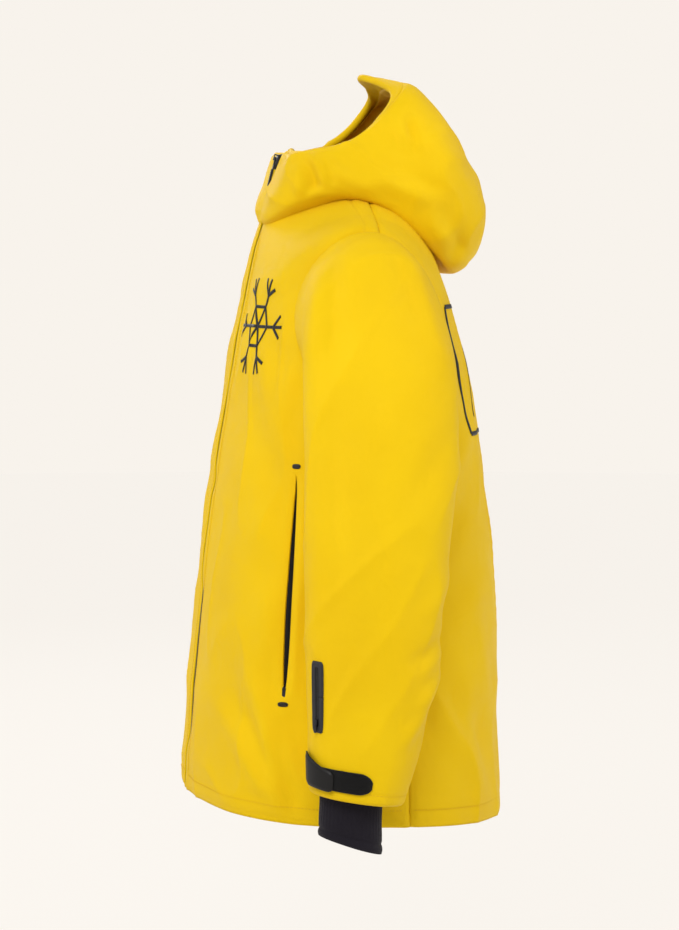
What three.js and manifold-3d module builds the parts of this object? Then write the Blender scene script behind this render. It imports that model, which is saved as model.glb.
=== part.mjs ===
// An insulated ski jacket, zipped up, with a high collar, a hood lying behind the neck, set-in sleeves
// with wrist gaiters, hand pockets, a forearm pocket and a snow skirt inside.
// Millimetres. +Z is up, -Y is the front, +X is the wearer's left.
// The origin is the middle of the neck opening, level with the neck end of the shoulder seams.
import * as THREE from "three";
import { mergeVertices } from "three/addons/utils/BufferGeometryUtils.js";
import Module from "manifold-3d";

const wasm = await Module();
wasm.setup();
const { degToRad, clamp, lerp, smoothstep } = THREE.MathUtils;

// ---------------------------------------------------------------- driving dimensions
const BODY_LENGTH = 704; // neck level to the lowest point of the back hem
const HEM_RISE_FRONT = 24; // how much shorter the front is than the back
const HEM_HALF_WIDTH = 222;
const CHEST_HALF_WIDTH = 216;
const SHOULDER_HALF_WIDTH = 210;
const SHOULDER_DROP = 38;
const NECK_HALF_WIDTH = 98;
const NECK_BACK_DEPTH = 95;
const NECK_FRONT_DROP = 28;
const NECK_BACK_DROP = 18;
const ARMPIT_DROP = 235; // neck level to the underarm point
const BACK_DEPTH = 178; // centre of the neck to the back hem
const FRONT_DEPTH = 185; // centre of the neck to the foremost point of the closure's arc
const CLOSURE_RADIUS = 3800; // the closure follows a circular arc seen from the side
const CLOSURE_ARC_DROP = 870; // the arc's foremost point lies this far below the neck

const SHELL = 2.0; // outer fabric with its insulation
const LINING = 1.4;
const PLY_GAP = 0.6; // between the outer fabric and the lining
const SEAM_GAP = 0.8; // between two pieces that a seam joins
const REST_GAP = 0.4; // between a piece and what it lies on

const CLOSURE_GAP = 18; // between the two front edges
const TAPE_WIDTH = 20;
const TAPE_THICKNESS = 1;
const TOOTH_GAP = 2.6; // slot between the tapes, in which the slider's web runs
const LINING_GAP = 2 * TAPE_WIDTH + TOOTH_GAP + 2 * REST_GAP; // between the two fronts' linings
const SLIDER_WIDTH = 13;
const SLIDER_LENGTH = 17;
const PULL_LENGTH = 37;
const PULL_WIDTH = 8;

const ARMHOLE_DEPTH = 144;
const ARMHOLE_TOP = 42; // below neck level
const SLEEVE_END = 636; // neck level to the front of the cuff hem
const SLEEVE_THICKNESS = 98; // across the forearm, left to right
const ARM_GAP = 10; // between the body's side and the inner side of the sleeve at the armpit
const GAITER_LENGTH = 62; // from the cuff hem to the gaiter's lowest point
const GAITER_DEPTH = 68;

const COLLAR_RISE_FRONT = 54;
const COLLAR_RISE_SIDE = 66;
const COLLAR_RISE_BACK = 62;
const COLLAR_TAPER = 14; // how much narrower the collar is at its top, on each side
const HOOD_RISE = 148; // neck level to the top of the hood's edge
const HOOD_DEPTH = 168; // neck centre to the hindmost point of the hood
const HOOD_DROP = 82; // neck level to the fold at the back of the hood

const POCKET_TOP = 300;
const POCKET_BOTTOM = 550;
const POCKET_ANGLE = 59; // round the body, in degrees from the front centre
const POCKET_SLIT = 10;
const SLEEVE_POCKET_LENGTH = 84;
const SLEEVE_POCKET_WIDTH = 17;

// ---------------------------------------------------------------- solids
const yellow = () =>
  new THREE.MeshStandardMaterial({ color: 0xf0c400, roughness: 0.62, metalness: 0 });
const orange = () =>
  new THREE.MeshStandardMaterial({ color: 0xd08c10, roughness: 0.7, metalness: 0 });
const black = () =>
  new THREE.MeshStandardMaterial({ color: 0x1b1917, roughness: 0.55, metalness: 0 });
const navy = () =>
  new THREE.MeshStandardMaterial({ color: 0x252127, roughness: 0.85, metalness: 0 });
const metal = () =>
  new THREE.MeshStandardMaterial({ color: 0x35343a, roughness: 0.4, metalness: 0.8 });

function solidFrom(geometry) {
  const bare = new THREE.BufferGeometry();
  bare.setAttribute("position", geometry.getAttribute("position"));
  bare.setIndex(geometry.getIndex());
  const merged = mergeVertices(bare, 1e-4);
  return new wasm.Manifold(
    new wasm.Mesh({
      numProp: 3,
      vertProperties: new Float32Array(merged.getAttribute("position").array),
      triVerts: new Uint32Array(merged.getIndex().array),
    }),
  );
}

function geometryFrom(solid) {
  const mesh = solid.getMesh();
  const geometry = new THREE.BufferGeometry();
  geometry.setAttribute("position", new THREE.BufferAttribute(mesh.vertProperties, 3));
  geometry.setIndex(new THREE.BufferAttribute(mesh.triVerts, 1));
  const flat = geometry.toNonIndexed();
  flat.computeVertexNormals();
  return flat;
}

const cut = (solid, ...cutters) => cutters.reduce((left, cutter) => left.subtract(cutter), solid);

function mirrored(solid) {
  return solid.mirror([1, 0, 0]);
}

// A closed wall between two offsets of surface(u, v), whose u x v direction faces outwards.
function wall(surface, { across, along, outer, inner, round = false }) {
  const offsetOf = (value, u, v) => (typeof value === "function" ? value(u, v) : value);
  const point = (u, v, value) => {
    const e = 1e-3;
    const du = surface(u + e, v).sub(surface(u - e, v));
    const dv = surface(u, Math.min(v + e, 1)).sub(surface(u, Math.max(v - e, 0)));
    const normal = du.cross(dv).normalize();
    return surface(u, v).addScaledVector(normal, offsetOf(value, u, v));
  };
  const columns = round ? across : across + 1;
  const vertices = [];
  for (const value of [outer, inner])
    for (let j = 0; j <= along; j++)
      for (let i = 0; i < columns; i++)
        vertices.push(...point(i / across, j / along, value).toArray());
  const index = (layer, i, j) => layer * columns * (along + 1) + j * columns + (i % columns);
  const faces = [];
  const quad = (a, b, c, d) => faces.push(a, b, c, a, c, d);
  for (let j = 0; j < along; j++)
    for (let i = 0; i < across; i++) {
      quad(index(0, i, j), index(0, i + 1, j), index(0, i + 1, j + 1), index(0, i, j + 1));
      quad(index(1, i, j), index(1, i, j + 1), index(1, i + 1, j + 1), index(1, i + 1, j));
    }
  for (let i = 0; i < across; i++) {
    quad(index(0, i, 0), index(1, i, 0), index(1, i + 1, 0), index(0, i + 1, 0));
    quad(index(0, i, along), index(0, i + 1, along), index(1, i + 1, along), index(1, i, along));
  }
  if (!round)
    for (let j = 0; j < along; j++) {
      quad(index(0, 0, j), index(0, 0, j + 1), index(1, 0, j + 1), index(1, 0, j));
      quad(index(0, across, j), index(1, across, j), index(1, across, j + 1), index(0, across, j + 1));
    }
  const geometry = new THREE.BufferGeometry();
  geometry.setAttribute("position", new THREE.Float32BufferAttribute(vertices, 3));
  geometry.setIndex(faces);
  return solidFrom(geometry);
}

// A box from its lowest and highest corners.
function block(low, high) {
  const size = high.map((value, k) => value - low[k]);
  const box = new THREE.BoxGeometry(...size);
  box.translate(...low.map((value, k) => value + size[k] / 2));
  return solidFrom(box);
}

// A plate with rounded ends or corners, drawn in x and y and extruded along z.
function roundedPlate(width, height, radius, thickness) {
  const [w, h, r] = [width / 2, height / 2, radius];
  const outline = new THREE.Shape();
  outline.absarc(w - r, h - r, r, 0, Math.PI / 2);
  outline.absarc(r - w, h - r, r, Math.PI / 2, Math.PI);
  outline.absarc(r - w, r - h, r, Math.PI, 1.5 * Math.PI);
  outline.absarc(w - r, r - h, r, 1.5 * Math.PI, 2 * Math.PI);
  return solidFrom(
    new THREE.ExtrudeGeometry(outline, { depth: thickness, bevelEnabled: false, curveSegments: 2 }),
  );
}

// Catmull-Rom through rows of numbers at equal steps of t.
function through(rows, t) {
  const last = rows.length - 1;
  const place = clamp(t, 0, 1) * last;
  const i = Math.min(Math.floor(place), last - 1);
  const f = place - i;
  const [a, b, c, d] = [-1, 0, 1, 2].map((k) => rows[clamp(i + k, 0, last)]);
  return b.map(
    (_, k) =>
      0.5 *
      (2 * b[k] +
        (c[k] - a[k]) * f +
        (2 * a[k] - 5 * b[k] + 4 * c[k] - d[k]) * f * f +
        (3 * b[k] - a[k] - 3 * c[k] + d[k]) * f * f * f),
  );
}

const power = (value, exponent) => Math.sign(value) * Math.abs(value) ** exponent;

function bisect(test, low, high) {
  for (let k = 0; k < 26; k++) {
    const middle = (low + high) / 2;
    if (test(middle)) low = middle;
    else high = middle;
  }
  return (low + high) / 2;
}

// ---------------------------------------------------------------- the closure's arc
const arcCentre = { y: CLOSURE_RADIUS - FRONT_DEPTH, z: -CLOSURE_ARC_DROP };
const arcAngle = (z) => Math.asin((z - arcCentre.z) / CLOSURE_RADIUS);
const frontLine = (z) => arcCentre.y - CLOSURE_RADIUS * Math.cos(arcAngle(z));

// A point beside the closure: x across, depth behind the outer face, z along the arc.
// The face curves away to the sides, so a strip's depth grows with its distance from the middle.
function closurePoint(x, depth, z) {
  const r = CLOSURE_RADIUS - depth - faceRecession(x, z);
  const angle = arcAngle(z);
  return new THREE.Vector3(x, arcCentre.y - r * Math.cos(angle), arcCentre.z + r * Math.sin(angle));
}

function closureStrip(x0, x1, depth0, depth1, z0, z1, steps) {
  const surface = (u, v) => closurePoint(lerp(x0, x1, u), depth0, lerp(z0, z1, v));
  const across = Math.max(1, Math.ceil((x1 - x0) / 12));
  return wall(surface, { across, along: steps, outer: 0, inner: depth0 - depth1 });
}

// ---------------------------------------------------------------- the body
const hemFront = HEM_RISE_FRONT - BODY_LENGTH;
const hemSide = -BODY_LENGTH + 14;
// The body's rings, from hem to neck. A higher squareness gives a flatter front and back.
const ringRow = (frontZ, halfWidth, sideY, sideZ, backY, backZ, squareness) => [
  frontZ,
  halfWidth,
  sideY,
  sideZ,
  backY,
  backZ,
  squareness,
];
const waist = lerp(-ARMPIT_DROP, -BODY_LENGTH, 0.36);
const hip = lerp(-ARMPIT_DROP, -BODY_LENGTH, 0.7);
const chestBack = BACK_DEPTH - 31;
const bodyRings = [
  ringRow(hemFront, HEM_HALF_WIDTH, 0, hemSide, BACK_DEPTH, -BODY_LENGTH, 2.35),
  ringRow(hip + 8, HEM_HALF_WIDTH, 0, hip + 4, BACK_DEPTH - 4, hip, 2.35),
  ringRow(waist, lerp(HEM_HALF_WIDTH, CHEST_HALF_WIDTH, 0.5), 0, waist, BACK_DEPTH - 11, waist, 2.35),
  ringRow(-ARMPIT_DROP, CHEST_HALF_WIDTH, -5, -ARMPIT_DROP, chestBack, -ARMPIT_DROP, 2.3),
  ringRow(
    -0.6 * ARMPIT_DROP,
    lerp(CHEST_HALF_WIDTH, SHOULDER_HALF_WIDTH, 0.35),
    -8,
    -0.6 * ARMPIT_DROP,
    chestBack - 21,
    -0.6 * ARMPIT_DROP,
    2.2,
  ),
  ringRow(
    -SHOULDER_DROP - 47,
    SHOULDER_HALF_WIDTH,
    -13,
    -SHOULDER_DROP - 4,
    lerp(chestBack, NECK_BACK_DEPTH, 0.66),
    -SHOULDER_DROP - 62,
    2.1,
  ),
  ringRow(
    -NECK_FRONT_DROP - 22,
    lerp(SHOULDER_HALF_WIDTH, NECK_HALF_WIDTH, 0.46),
    -7,
    -0.46 * SHOULDER_DROP,
    lerp(chestBack, NECK_BACK_DEPTH, 0.84),
    -SHOULDER_DROP - 24,
    2,
  ),
  ringRow(-NECK_FRONT_DROP, NECK_HALF_WIDTH, 0, 0, NECK_BACK_DEPTH, -NECK_BACK_DROP, 2),
];

// A point of the body at an angle from the front centre (towards +X) and a level from hem to neck.
function bodyPoint(angle, level) {
  const [frontZ, half, sideY, sideZ, backY, backZ, squareness] = through(bodyRings, level);
  const e = 2 / squareness;
  const [s, c] = [Math.sin(angle), Math.cos(angle)];
  const [endY, endZ] = c > 0 ? [frontLine(frontZ), frontZ] : [backY, backZ];
  const share = Math.abs(c) ** e;
  return new THREE.Vector3(
    half * power(s, e),
    lerp(sideY, endY, share),
    lerp(sideZ, endZ, Math.abs(c) ** 1.4),
  );
}

// How far the front of the body and collar falls behind its centre line at x across.
function faceRecession(x, z) {
  const collarShare = clamp((z + NECK_FRONT_DROP) / (COLLAR_RISE_FRONT + NECK_FRONT_DROP), 0, 1);
  const level = bisect((t) => through(bodyRings, t)[0] < z, 0, 1);
  const [, half, , , , , squareness] = through(bodyRings, level);
  const width = half - COLLAR_TAPER * collarShare;
  const depth = -frontLine(z);
  return depth * (1 - (1 - (Math.abs(x) / width) ** squareness) ** (1 / squareness));
}

const levelAt = (angle, z) => bisect((level) => bodyPoint(angle, level).z < z, 0, 1);

// How far out the left side of the body is at a given y and z.
function bodySideX(y, z) {
  const angle = bisect((a) => bodyPoint(a, levelAt(a, z)).y < y, 0.02, Math.PI - 0.02);
  return bodyPoint(angle, levelAt(angle, z)).x;
}

const SIDE_SEAM = degToRad(100);
const LEVELS = 12;
const frontPanel = (u, v) => bodyPoint(lerp(0, SIDE_SEAM - 0.004, u), v);
const backPanel = (u, v) => bodyPoint(lerp(SIDE_SEAM, 2 * Math.PI - SIDE_SEAM, u), v);

// The lining stands off the outer fabric where a hand pocket's bag lies between them.
const BAG_THICKNESS = 2.4;
const POCKET_ROOM = 10;
function pocketRoom(angleDegrees, z) {
  const sideways =
    smoothstep(angleDegrees, 4, 18) * (1 - smoothstep(angleDegrees, POCKET_ANGLE + 12, POCKET_ANGLE + 32));
  const lengthways =
    smoothstep(-z, POCKET_TOP - 110, POCKET_TOP - 50) *
    (1 - smoothstep(-z, POCKET_BOTTOM + 50, POCKET_BOTTOM + 105));
  return POCKET_ROOM * sideways * lengthways;
}
const liningOffset = (panel, turn) => (u, v) => {
  const angle = Math.abs(THREE.MathUtils.radToDeg(turn(u)));
  return -SHELL - PLY_GAP - pocketRoom(angle, panel(u, v).z);
};
const frontTurn = (u) => lerp(0, SIDE_SEAM, u);

const armholeBottom = ARMPIT_DROP - 4;
const armhole = {
  y: -5,
  z: -(ARMHOLE_TOP + armholeBottom) / 2,
  halfDepth: ARMHOLE_DEPTH / 2,
  halfHeight: (armholeBottom - ARMHOLE_TOP) / 2,
};

function armholeCutter() {
  const cylinder = new THREE.CylinderGeometry(1, 1, 260, 28);
  cylinder.rotateZ(Math.PI / 2);
  cylinder.scale(1, armhole.halfDepth, armhole.halfHeight);
  cylinder.translate(240, armhole.y, armhole.z);
  return solidFrom(cylinder);
}
const leftArmhole = armholeCutter();
const rightArmhole = mirrored(leftArmhole);
const closureCutter = (gap) => block([-gap / 2, -400, -1200], [gap / 2, 0, 200]);

// The left hand pocket's slit is a straight line on the body, from its top to its bottom.
const pocketTurn = degToRad(POCKET_ANGLE);
const pocketEnd = (drop) => bodyPoint(pocketTurn, levelAt(pocketTurn, -drop));
const pocketFrame = (() => {
  const [top, bottom] = [pocketEnd(POCKET_TOP), pocketEnd(POCKET_BOTTOM)];
  const down = bottom.clone().sub(top).normalize();
  const beside = bodyPoint(pocketTurn + 0.02, levelAt(pocketTurn + 0.02, (top.z + bottom.z) / 2));
  const middle = bodyPoint(pocketTurn - 0.02, levelAt(pocketTurn - 0.02, (top.z + bottom.z) / 2));
  const back = beside.sub(middle).normalize();
  const out = down.clone().cross(back).normalize();
  back.crossVectors(out, down);
  const origin = top.clone().add(bottom).multiplyScalar(0.5);
  return { origin, back, down, out, length: top.distanceTo(bottom) };
})();

// Places a solid made with x towards the back, y along the slit upwards and z out of the body.
function onFrame(solid, frame, along = 0, lift = 0) {
  const up = frame.down.clone().negate();
  const place = frame.origin.clone().addScaledVector(frame.down, along).addScaledVector(frame.out, lift);
  return solid.transform([
    ...frame.back.toArray(), 0,
    ...up.toArray(), 0,
    ...frame.out.toArray(), 0,
    ...place.toArray(), 1,
  ]);
}
function pocketSlitCutter() {
  const [w, h] = [POCKET_SLIT / 2, pocketFrame.length / 2];
  return onFrame(block([-w, -h, -6], [w, h, 9]), pocketFrame);
}

function frontShell() {
  const panel = wall(frontPanel, { across: 10, along: LEVELS, outer: 0, inner: -SHELL });
  return cut(panel, leftArmhole, closureCutter(CLOSURE_GAP), pocketSlitCutter());
}
function frontLining() {
  const outer = liningOffset(frontPanel, frontTurn);
  const panel = wall(frontPanel, {
    across: 10,
    along: LEVELS,
    outer,
    inner: (u, v) => outer(u, v) - LINING,
  });
  return cut(panel, leftArmhole, closureCutter(LINING_GAP));
}
function backWall(outer, inner) {
  return cut(wall(backPanel, { across: 16, along: LEVELS, outer, inner }), leftArmhole, rightArmhole);
}

// ---------------------------------------------------------------- the closure
const tapeDepth = SHELL + 1;
const zipTop = COLLAR_RISE_FRONT - 2;
const zipBottom = hemFront + 12;
const sliderRest = zipTop - SLIDER_LENGTH / 2 - 1;

function zipTape() {
  const x0 = TOOTH_GAP / 2;
  return closureStrip(x0, x0 + TAPE_WIDTH, tapeDepth, tapeDepth + TAPE_THICKNESS, zipBottom, zipTop, 24);
}

const BOX_HALF_WIDTH = 6;
const zipBox = () =>
  closureStrip(
    -BOX_HALF_WIDTH,
    BOX_HALF_WIDTH,
    tapeDepth - 1.6,
    tapeDepth + 2.2,
    hemFront + 1,
    zipBottom - REST_GAP,
    1,
  );

// Solids of the slider are made upright at the origin, z along the tape and -y outwards.
function atClosure(solid, z) {
  const place = closurePoint(0, tapeDepth, z);
  return solid.rotate([THREE.MathUtils.radToDeg(-arcAngle(z)), 0, 0]).translate(place.toArray());
}
const BRIDGE_WIDTH = 3.2;
const sliderFace = 3.4; // how far the slider's front plate stands in front of the tape
function slider() {
  const [w, h] = [SLIDER_WIDTH / 2, SLIDER_LENGTH / 2];
  const front = block([-w, -sliderFace, -h], [w, -REST_GAP, h]);
  const behind = TAPE_THICKNESS + 0.9;
  const webHalf = TOOTH_GAP / 2 - REST_GAP;
  const web = block([-webHalf, -REST_GAP - 0.1, -h], [webHalf, behind + 0.1, h]);
  const back = block([-w, behind, -h], [w, behind + 1.4, h]);
  const bridge = cut(
    block([-BRIDGE_WIDTH / 2, -sliderFace - 3.8, h - 7.5], [BRIDGE_WIDTH / 2, -sliderFace + 0.1, h]),
    block([-BRIDGE_WIDTH, -sliderFace - 2.6, h - 6.2], [BRIDGE_WIDTH, -sliderFace, h - 1.3]),
  );
  return atClosure(front.add(web).add(back).add(bridge), sliderRest);
}
// The pull turns on a bar across its top, which the slider's bridge holds.
const PULL_BAR = 1.4;
const pullHinge = { y: -sliderFace - 1.3, z: SLIDER_LENGTH / 2 - 3.75 };
function pull() {
  const slotWidth = BRIDGE_WIDTH + 2 * REST_GAP;
  const slotLength = 8;
  const plate = roundedPlate(PULL_WIDTH, PULL_LENGTH, 1.8, PULL_BAR);
  const slotTop = PULL_LENGTH / 2 - PULL_BAR;
  const slot = block([-slotWidth / 2, slotTop - slotLength, -1], [slotWidth / 2, slotTop, 3]);
  const grip = roundedPlate(PULL_WIDTH - 3.4, PULL_LENGTH - 17, 1.6, PULL_BAR + 1).translate([0, -6, 0]);
  const lying = cut(plate, slot).add(grip).rotate([90, 0, 0]);
  const drop = PULL_LENGTH / 2 - PULL_BAR / 2;
  return atClosure(lying.translate([0, pullHinge.y + PULL_BAR / 2, pullHinge.z - drop]), sliderRest);
}
// The flap is sewn behind the left front and lies behind both tapes, and the guard lies behind it.
const flapFront = tapeDepth + 4;
const flapBack = flapFront + 1.4;
const windFlap = () =>
  closureStrip(-16, TAPE_WIDTH + 5, flapFront, flapBack, zipBottom + 4, zipTop - 2, 12);
const chinGuard = () =>
  closureStrip(-14, 26, flapBack + REST_GAP, flapBack + 1.6, zipTop - 50, zipTop - 4, 2);

// ---------------------------------------------------------------- collar and hood
function collarPoint(angle, rise) {
  const [s, c] = [Math.sin(angle), Math.cos(angle)];
  const half = lerp(NECK_HALF_WIDTH, NECK_HALF_WIDTH - COLLAR_TAPER, rise);
  const frontZ = lerp(-NECK_FRONT_DROP, COLLAR_RISE_FRONT, rise);
  const sideZ = COLLAR_RISE_SIDE * rise;
  const backZ = lerp(-NECK_BACK_DROP, COLLAR_RISE_BACK, rise);
  const backY = lerp(NECK_BACK_DEPTH, NECK_BACK_DEPTH - 11, rise);
  const [endY, endZ] = c > 0 ? [frontLine(frontZ), frontZ] : [backY, backZ];
  return new THREE.Vector3(half * s, endY * Math.abs(c), lerp(sideZ, endZ, c * c) + SEAM_GAP);
}
const collarPanel = (u, v) => collarPoint(2 * Math.PI * u, v);
function collarWall(outer, inner, gap) {
  return cut(wall(collarPanel, { across: 24, along: 3, outer, inner, round: true }), closureCutter(gap));
}

const HOOD_SIDE = NECK_HALF_WIDTH + 3.2;
const hoodHinge = { y: 0, z: 20 };
const hoodRow = (halfWidth, backY, sideZ, backZ) => [halfWidth, backY, sideZ, backZ];
const hoodRows = [
  hoodRow(HOOD_SIDE, NECK_BACK_DEPTH + 12, 3, -6),
  hoodRow(HOOD_SIDE + 0.5, NECK_BACK_DEPTH + 18, 6, lerp(-6, -HOOD_DROP, 0.5)),
  hoodRow(HOOD_SIDE + 2, NECK_BACK_DEPTH + 32, 11, -HOOD_DROP),
  hoodRow(HOOD_SIDE + 6, HOOD_DEPTH - 15, 18, 20 - HOOD_DROP),
  hoodRow(HOOD_SIDE + 9, HOOD_DEPTH, 27, -16),
  hoodRow(HOOD_SIDE + 9, HOOD_DEPTH - 8, 36, 42),
  hoodRow(HOOD_SIDE + 5, HOOD_DEPTH - 40, 46, HOOD_RISE - 55),
  hoodRow(HOOD_SIDE - 1, HOOD_DEPTH - 82, 57, HOOD_RISE - 20),
  hoodRow(HOOD_SIDE - 7, HOOD_DEPTH - 124, 69, HOOD_RISE),
];
function hoodPanel(u, v) {
  const [half, backY, sideZ, backZ] = through(hoodRows, v);
  const turn = Math.PI * u;
  const [c, s] = [Math.cos(turn), Math.sin(turn)];
  const share = Math.abs(s) ** 0.95;
  return new THREE.Vector3(
    half * power(c, 0.85),
    lerp(hoodHinge.y - 2, backY, share),
    lerp(sideZ, backZ, Math.abs(s) ** lerp(1.75, 1.3, Math.min(2 * v, 1))),
  );
}
const hoodWall = (outer, inner, from, along) =>
  wall((u, v) => hoodPanel(u, lerp(from, 1, v)), { across: 16, along, outer, inner });

// A strap across the inside of the back neck, to hang the jacket by.
const LOOP_SPAN = 62;
const LOOP_STAND_OFF = 7;
function hangerLoop() {
  const inside = NECK_BACK_DEPTH - SHELL - PLY_GAP - LINING - 4.6;
  const reach = LOOP_SPAN / 2;
  const endY = inside * Math.sqrt(1 - (reach / (NECK_HALF_WIDTH - 6)) ** 2) - REST_GAP;
  const outline = new THREE.Shape();
  outline.moveTo(-reach, endY);
  outline.lineTo(-reach + 7, endY);
  outline.lineTo(-reach + 10, endY + 1.4 - LOOP_STAND_OFF);
  outline.lineTo(reach - 10, endY + 1.4 - LOOP_STAND_OFF);
  outline.lineTo(reach - 7, endY);
  outline.lineTo(reach, endY);
  outline.lineTo(reach, endY - 1.4);
  outline.lineTo(reach - 5.8, endY - 1.4);
  outline.lineTo(reach - 9, endY - LOOP_STAND_OFF);
  outline.lineTo(-reach + 9, endY - LOOP_STAND_OFF);
  outline.lineTo(-reach + 5.8, endY - 1.4);
  outline.lineTo(-reach, endY - 1.4);
  const strap = new THREE.ExtrudeGeometry(outline, { depth: 9, bevelEnabled: false });
  return solidFrom(strap).translate([0, 0, 4]);
}

// ---------------------------------------------------------------- hand pockets
const pocketTapeDepth = SHELL + 2;
const pocketSlot = 2.4;
function pocketZip() {
  const tape = roundedPlate(22, pocketFrame.length + 8, 2, TAPE_THICKNESS);
  const [w, h] = [pocketSlot / 2, pocketFrame.length / 2];
  const slot = block([-w, -h, -1], [w, h, 2]);
  return onFrame(cut(tape, slot), pocketFrame, 0, -pocketTapeDepth - TAPE_THICKNESS);
}
const POCKET_SLIDER_LENGTH = 12;
const pocketTravel = pocketFrame.length - POCKET_SLIDER_LENGTH - 4;
function pocketSlider() {
  const h = POCKET_SLIDER_LENGTH / 2;
  const front = block([-3.6, -h, REST_GAP], [3.6, h, 2.2]);
  const web = block([-0.8, -h, -TAPE_THICKNESS - REST_GAP - 0.1], [0.8, h, REST_GAP + 0.1]);
  const back = block([-3.6, -h, -TAPE_THICKNESS - REST_GAP - 1], [3.6, h, -TAPE_THICKNESS - REST_GAP]);
  const tab = roundedPlate(4.4, 11, 1.6, 0.9).translate([0, 0, 2.1]);
  return onFrame(front.add(web).add(back).add(tab), pocketFrame, pocketTravel / 2, -pocketTapeDepth);
}
function pocketBag() {
  const deep = pocketTapeDepth + TAPE_THICKNESS + REST_GAP + 2;
  const reach = (u, v) => {
    const angle = degToRad(lerp(POCKET_ANGLE - 33, POCKET_ANGLE + 5, u));
    return bodyPoint(angle, levelAt(angle, lerp(-POCKET_BOTTOM - 14, -POCKET_TOP, v)));
  };
  return wall(reach, { across: 6, along: 6, outer: -deep, inner: -deep - BAG_THICKNESS });
}
const TACK = { width: 14, height: 5.4, thickness: 1 };
function bartack(drop) {
  const frame = { ...pocketFrame, origin: pocketEnd(drop) };
  return onFrame(roundedPlate(TACK.width, TACK.height, 2.4, TACK.thickness), frame, 0, REST_GAP);
}
const tackTop = POCKET_TOP - TACK.height;
const tackBottom = POCKET_BOTTOM + TACK.height;

// ---------------------------------------------------------------- snow skirt
const skirtTop = waist - 30;
const skirtBottom = skirtTop - 110;
function skirtPanel(u, v) {
  const angle = 2 * Math.PI * u;
  return bodyPoint(angle, levelAt(angle, lerp(skirtBottom, skirtTop, v)));
}
function skirtOffset(u, v) {
  const angle = Math.min(360 * u, 360 - 360 * u);
  const z = lerp(skirtBottom, skirtTop, v);
  return -SHELL - PLY_GAP - pocketRoom(angle, z) * 1.02 - LINING - 1.6 - 24 * (1 - v);
}
const SKIRT = 1.2;
function skirtWall(from, to, outerExtra, thickness) {
  const panel = (u, v) => skirtPanel(u, lerp(from, to, v));
  const outer = (u, v) => skirtOffset(u, lerp(from, to, v)) - outerExtra;
  const ring = wall(panel, {
    across: 30,
    along: 2,
    outer,
    inner: (u, v) => outer(u, v) - thickness,
    round: true,
  });
  return cut(ring, closureCutter(70));
}

// ---------------------------------------------------------------- sleeves
const sleeveInner = CHEST_HALF_WIDTH + ARM_GAP;
const shoulderOuter = sleeveInner + SLEEVE_THICKNESS - 8;
const topX = bodySideX(armhole.y, -ARMHOLE_TOP - 2);
const bottomX = bodySideX(armhole.y, -armholeBottom + 1);
const cuffX = sleeveInner + 14;
const forearm = (share) => lerp(-ARMPIT_DROP - 105, -SLEEVE_END, share);
const SEAT = 1.8; // how far the sleeve's seam lies inside the armhole's edge
const sleeveRow = (outerX, outerZ, innerX, innerZ, front, back) => [
  outerX,
  outerZ,
  innerX,
  innerZ,
  front,
  back,
];
const sleeveRows = [
  sleeveRow(
    topX,
    -ARMHOLE_TOP - SEAT,
    bottomX,
    -armholeBottom + SEAT,
    armhole.y - armhole.halfDepth + SEAT,
    armhole.y + armhole.halfDepth - SEAT,
  ),
  sleeveRow(topX + 28, -ARMHOLE_TOP - 10, sleeveInner - 6, -ARMPIT_DROP - 2, -79, 71),
  sleeveRow(topX + 58, -ARMHOLE_TOP - 44, sleeveInner - 2, -ARMPIT_DROP - 6, -82, 77),
  sleeveRow(shoulderOuter - 20, -ARMHOLE_TOP - 106, sleeveInner, -ARMPIT_DROP - 14, -85, 80),
  sleeveRow(shoulderOuter, -ARMPIT_DROP - 12, sleeveInner + 1, -ARMPIT_DROP - 42, -86, 80),
  sleeveRow(shoulderOuter + 8, forearm(0), sleeveInner + 2, forearm(0), -86, 75),
  sleeveRow(shoulderOuter + 12, forearm(0.3), sleeveInner + 4, forearm(0.3), -86, 66),
  sleeveRow(shoulderOuter + 14, forearm(0.6), sleeveInner + 7, forearm(0.6), -85, 54),
  sleeveRow(shoulderOuter + 15, forearm(0.85), sleeveInner + 11, forearm(0.85), -84, 36),
  sleeveRow(shoulderOuter + 14, forearm(1) - 8, cuffX, forearm(1) - 8, -83, 20),
];
const CUFF_TILT = 0.16; // the cuff hem drops towards the back

function sleevePoint(turn, share) {
  const [outerX, outerZ, innerX, innerZ, front, back] = through(sleeveRows, share);
  const e = lerp(1, 0.92, smoothstep(share, 0, 0.3));
  const [c, s] = [power(Math.cos(turn), e), power(Math.sin(turn), e)];
  const middle = (front + back) / 2;
  const y = middle - ((back - front) / 2) * s;
  const x = (outerX + innerX) / 2 + ((outerX - innerX) / 2) * c;
  const z = (outerZ + innerZ) / 2 + ((outerZ - innerZ) / 2) * c;
  const tilt = CUFF_TILT * smoothstep(share, 0.5, 1);
  return new THREE.Vector3(x, y, z - tilt * (y - middle));
}
// The sleeve head starts on the body's surface and becomes the free tube of the sleeve.
function sleevePanel(u, v) {
  const turn = 2 * Math.PI * u;
  const free = sleevePoint(turn, v);
  const seated = 1 - smoothstep(v, 0, 0.14);
  if (seated > 0) {
    const root = sleevePoint(turn, 0);
    const onBody = bodySideX(root.y, root.z) - 0.4;
    free.x += (onBody - root.x) * seated;
  }
  return free;
}
const sleeveWall = (outer, inner) =>
  wall(sleevePanel, { across: 14, along: 12, outer, inner, round: true });

const sleevePocketRoom = (u, v) => {
  const turn = 360 * u;
  const across = smoothstep(turn, 30, 48) * (1 - smoothstep(turn, 78, 96));
  const z = sleevePanel(u, v).z;
  const lengthways = smoothstep(-z, 470, 486) * (1 - smoothstep(-z, 580, 596));
  return 3.2 * across * lengthways;
};

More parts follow.
